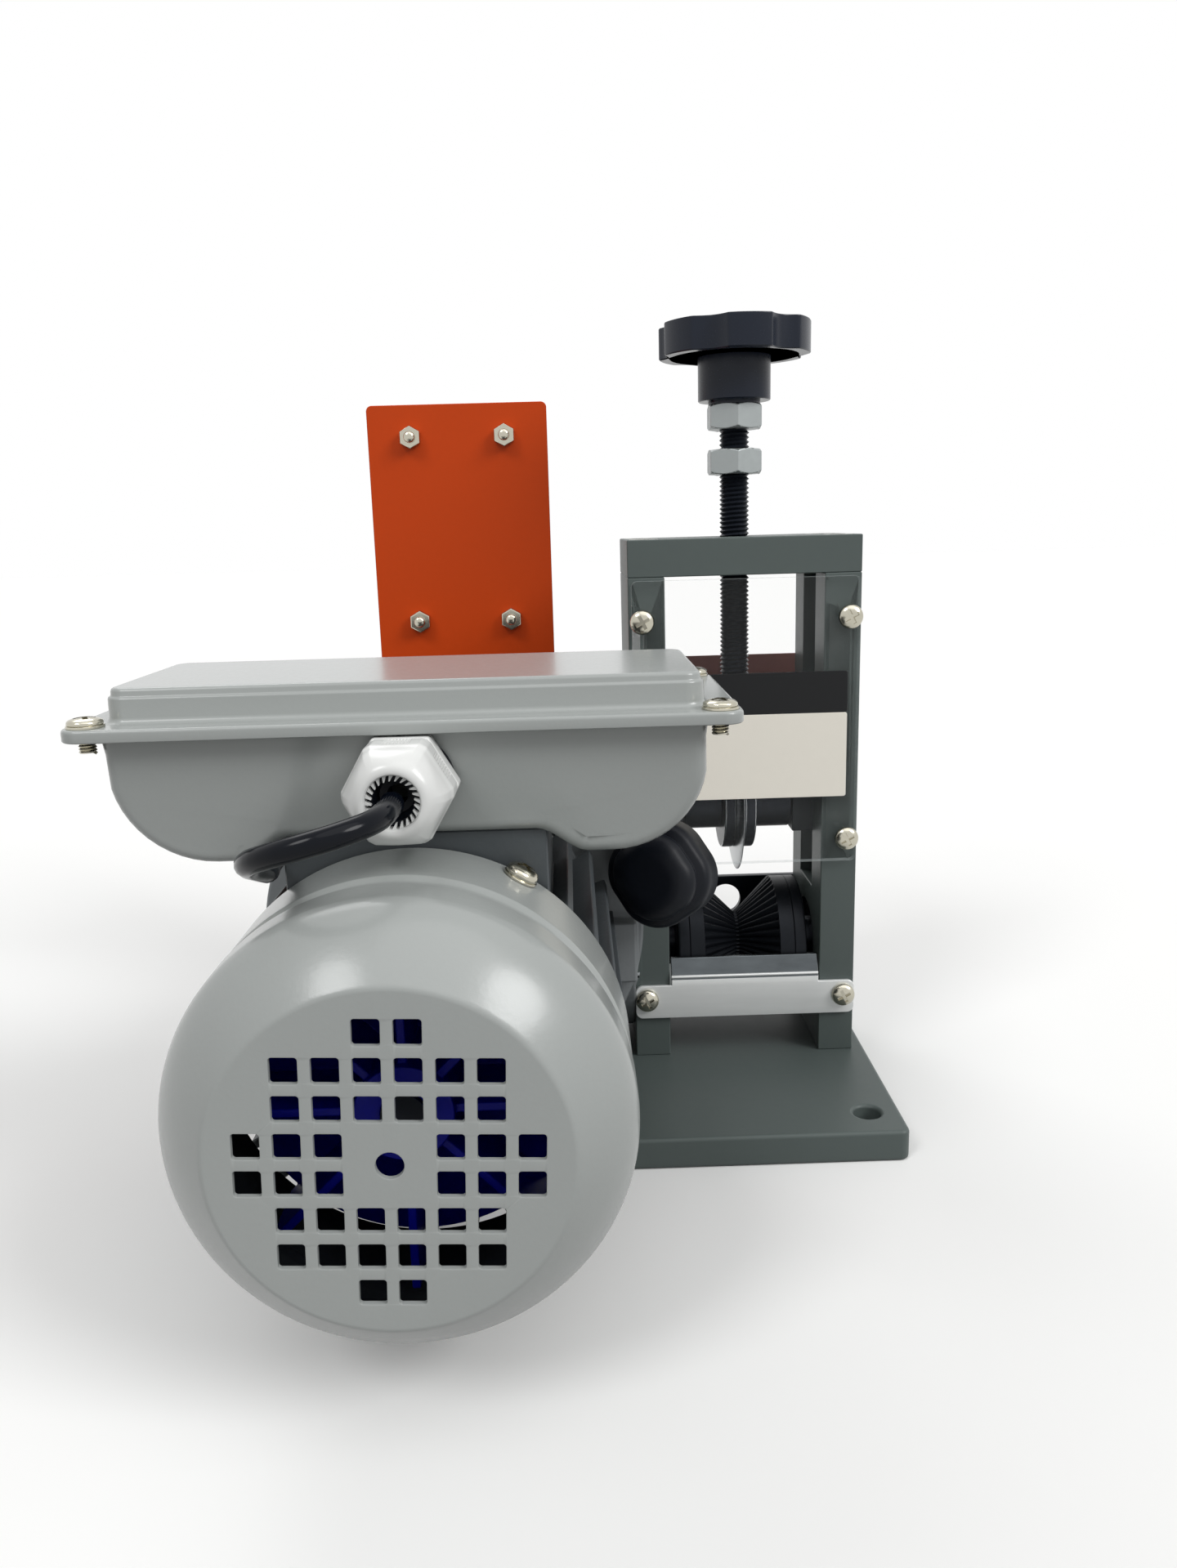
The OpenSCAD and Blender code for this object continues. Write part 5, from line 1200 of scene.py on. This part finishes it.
def gland_nut_shape():
    """A hexagonal gland nut with round corners and finely ribbed flats, domed towards its round mouth."""
    count = GLAND["knurls"] * 4
    flat, corner = GLAND["flats"] / 2, GLAND["corner"] / 2
    sixth = math.pi / 3

    def side(a):
        """Angle from the middle of the nearest flat."""
        return abs(a % sixth - sixth / 2)

    def hexagon(share, ribs=0.0):
        """Change of radius from the flats' circle to the hexagon at a share, with ribs on the flats."""
        def wave(a):
            out = share * (min(flat / math.cos(side(a)), corner - 2.2 * (sixth / 2 - side(a)) ** 2) - flat)
            if side(a) < math.radians(15):
                out -= ribs * abs((a * GLAND["knurls"] / (2 * math.pi)) % 1 * 2 - 1)
            return out
        return wave

    flank, face, mouth = GLAND["flank"], GLAND["length"], GLAND["mouth"] / 2
    bm = bmesh.new()
    loops = [
        circle_loop(bm, flat - inset, height, count, hexagon(share, ribs)) for height, inset, share, ribs in (
            (0, 0.6, 1, 0), (0.3, 0.15, 1, 0), (1, 0, 1, 0), (1.3, 0, 1, 0.25), (flank - 1.5, 0, 1, 0.25),
            (flank - 1.2, 0, 1, 0), (flank - 0.4, 0.02, 1, 0), (flank + 0.4, 0.18, 0.94, 0),
            (flank + 1.2, 0.42, 0.8, 0),
        )
    ]
    lip = mouth + 0.8
    for a in range(24, 91, 11):
        t = math.radians(a)
        r = lip + (flat - 0.1 - lip) * math.cos(t)
        share = max(0, 0.8 * (1 - (a - 24) / 40))
        h = flank - 1.6 + (face - flank + 1.6) * math.sin(t)
        loops.append(circle_loop(bm, r, h, count, hexagon(share)))
    for r, h in ((lip - 0.45, face - 0.1), (lip - 0.72, face - 0.4), (mouth, face - 0.9), (mouth, 0)):
        loops.append(circle_loop(bm, r, h, count))
    bridge(bm, loops + loops[:1], (False, False))
    bmesh.ops.transform(bm, matrix=facing("gland_nut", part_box("gland_nut")[1].y, -Y), verts=bm.verts)
    return bm


def claw_shape():
    """One slanting tooth of the gland's clamping ring, leaning in from the mouth's wall."""
    bm = bmesh.new()
    mouth = GLAND["mouth"] / 2
    low = Vector((mouth - CLAW["tip"], -CLAW["half"], -CLAW["far"])) * MM
    high = Vector((mouth - CLAW["root"], CLAW["half"], -CLAW["near"])) * MM
    add_box(bm, low, high)
    tip = [v for v in bm.verts if v.co.x < (low.x + high.x) / 2]
    bmesh.ops.scale(bm, vec=(1, 0.3, 0.6), verts=tip)
    bmesh.ops.translate(bm, vec=(0, CLAW["lean"] * MM, -CLAW["drop"] * MM), verts=tip)
    return bm


class STRIPPER_OT_terminal_box(bpy.types.Operator):
    """Make the terminal box, its stepped lid and the cable gland"""

    bl_idname = "stripper.terminal_box"
    bl_label = "Terminal box"

    def execute(self, context):
        box = terminal_box_shape()
        piece("terminal_box_shell", box, "terminal_box", powder(), ("terminal_box",), smooth=50)
        piece("box_lid_shell", lid_shape(), "box_lid", powder(), ("box_lid",), smooth=50)
        # Aluminium can in a plastic sleeve: dark and smooth
        dress(finish("capacitor sleeve", linear("#2a2c30"), 0.4, grain=1, depth=0.01), "capacitors")
        soften("gland_body", 0.6, nylon())
        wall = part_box("terminal_box")[0].y + BOX["end"] * MM
        washer = placed(turned(WASHER, 48, True), facing("gland_nut", wall, -Y))
        piece("gland_washer", washer, "gland_body", rubber())
        piece("gland_nut_shape", gland_nut_shape(), "gland_nut", nylon(), ("gland_nut",), smooth=32)
        mouth = facing("gland_nut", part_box("gland_nut")[0].y, -Y)
        count = GLAND["claws"]
        claws = [mouth @ Matrix.Rotation(2 * math.pi * i / count, 4, "Z") for i in range(count)]
        piece("gland_claws", placed(claw_shape(), *claws), "gland_nut", nylon())
        bore, grip, depth = GLAND["mouth"] / 2 - 0.1, CORD["diameter"] / 2, GLAND["length"]
        seal = turned([
            (bore, -depth), (bore, -GLAND["wall"]), (bore - 1.2, -GLAND["wall"]), (grip + 1.2, -depth / 2),
            (grip - 0.3, -depth / 2 - 0.6), (grip - 0.3, -depth),
        ], 40, closed=True)
        piece("gland_seal_shape", placed(seal, mouth), "gland_seal", rubber(), ("gland_seal",))
        dress(rubber(), "switch_cable")
        return {"FINISHED"}


# Switch


NUT = {"across": 7, "height": 3.2, "thread": 4, "out": 2.5, "dome": 1.1, "back": 9.5}
# Thickness of the switch plate's sheet, and the outline of the ring round a button
SHEET = 1.5
BEZEL = [(11.5, -0.4), (14.6, -0.4), (14.6, 0.5), (14, 1.1), (12.1, 1.1), (11.5, 0.6)]


def bolt_end_shape():
    """A hexagon nut with eased corners on a bolt whose domed end stands out of it."""
    bm = bmesh.new()
    corner, height = NUT["across"] / math.sqrt(3), NUT["height"]
    bridge(bm, [
        circle_loop(bm, corner - inset, h, 6)
        for inset, h in ((0.4, 0), (0, 0.4), (0, height - 0.5), (0.15, height - 0.2), (0.6, height))
    ])
    r, rise = NUT["thread"] / 2, NUT["dome"]
    shoulder = height + NUT["out"] - rise
    bolt = [(0, -NUT["back"]), (r, -NUT["back"]), (r, shoulder)]
    for a in range(15, 91, 15):
        t = math.radians(a)
        bolt.append((r * math.cos(t), shoulder + rise * math.sin(t)))
    join(bm, turned(bolt, 24))
    return bm


class STRIPPER_OT_switch(bpy.types.Operator):
    """Finish the switch plate, the housing and its two buttons"""

    bl_idname = "stripper.switch"
    bl_label = "Switch"

    def execute(self, context):
        # Gloss paint on bent sheet: strong orange-red with a low sheen
        orange = painted(
            "switch_plate", "orange-red paint", 0.42, specular=0.22, grain=2, depth=0.01, tint=0.03
        )
        soften("switch_plate", 0.3, orange)
        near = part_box("switch_plate")[1].y - SHEET * MM
        places = []
        for low, high in solids("switch_screws"):
            if high.y < near + 0.1 * MM:
                mid = (low + high) / 2
                places.append(frame_at(Vector((mid.x, near, mid.z)), -Y))
        ends = placed(bolt_end_shape(), *places)
        piece("switch_screws_shape", ends, "switch_screws", plated(), ("switch_screws",))
        soften("switch_housing", 1.6, black_plastic(), segments=3)
        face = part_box("switch_housing")[1].y
        # Glossy ABS caps: clean green and red with a soft round highlight
        for node, code in (("start_button", "#1f9a3c"), ("stop_button", "#c4161b")):
            label = node.split("_")[0]
            cap = finish(f"{label} button ABS", linear(code), 0.28, grain=2, depth=0.004, tint=0.02)
            soften(node, 0.8, cap, segments=3)
            bezel = placed(turned(BEZEL, 48, True), facing(node, face, Y))
            piece(f"{label}_bezel", bezel, "switch_housing", black_plastic())
        return {"FINISHED"}


class STRIPPER_PT_panel(bpy.types.Panel):
    """Sidebar list of the wire stripper's pieces"""

    bl_idname = "STRIPPER_PT_panel"
    bl_label = "Wire stripper"
    bl_space_type = "VIEW_3D"
    bl_region_type = "UI"
    bl_category = "Wire stripper"

    def draw(self, context):
        for operator in OPERATORS:
            self.layout.operator(operator.bl_idname)
        for name in GROUPS:
            group = getattr(context.scene, name)
            box = self.layout.box()
            for key in group.__annotations__:
                box.prop(group, key)


GROUPS = {
    "stripper_colours": StripperColours, "stripper_detail": StripperDetail, "stripper_stage": StripperStage,
}
OPERATORS = (
    STRIPPER_OT_stage, STRIPPER_OT_cord, STRIPPER_OT_frame, STRIPPER_OT_guards, STRIPPER_OT_screws,
    STRIPPER_OT_cutting_head, STRIPPER_OT_roller, STRIPPER_OT_motor, STRIPPER_OT_gearbox,
    STRIPPER_OT_terminal_box, STRIPPER_OT_switch,
)
CLASSES = (*GROUPS.values(), *OPERATORS, STRIPPER_PT_panel)


def register():
    for cls in CLASSES:
        bpy.utils.register_class(cls)
    for name, group in GROUPS.items():
        setattr(bpy.types.Scene, name, bpy.props.PointerProperty(type=group))


def unregister():
    for name in GROUPS:
        delattr(bpy.types.Scene, name)
    for cls in reversed(CLASSES):
        bpy.utils.unregister_class(cls)


def main():
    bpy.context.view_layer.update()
    register()
    for operator in OPERATORS:
        group, name = operator.bl_idname.split(".")
        getattr(getattr(bpy.ops, group), name)()
    bpy.context.view_layer.update()


if __name__ == "__main__":
    main()
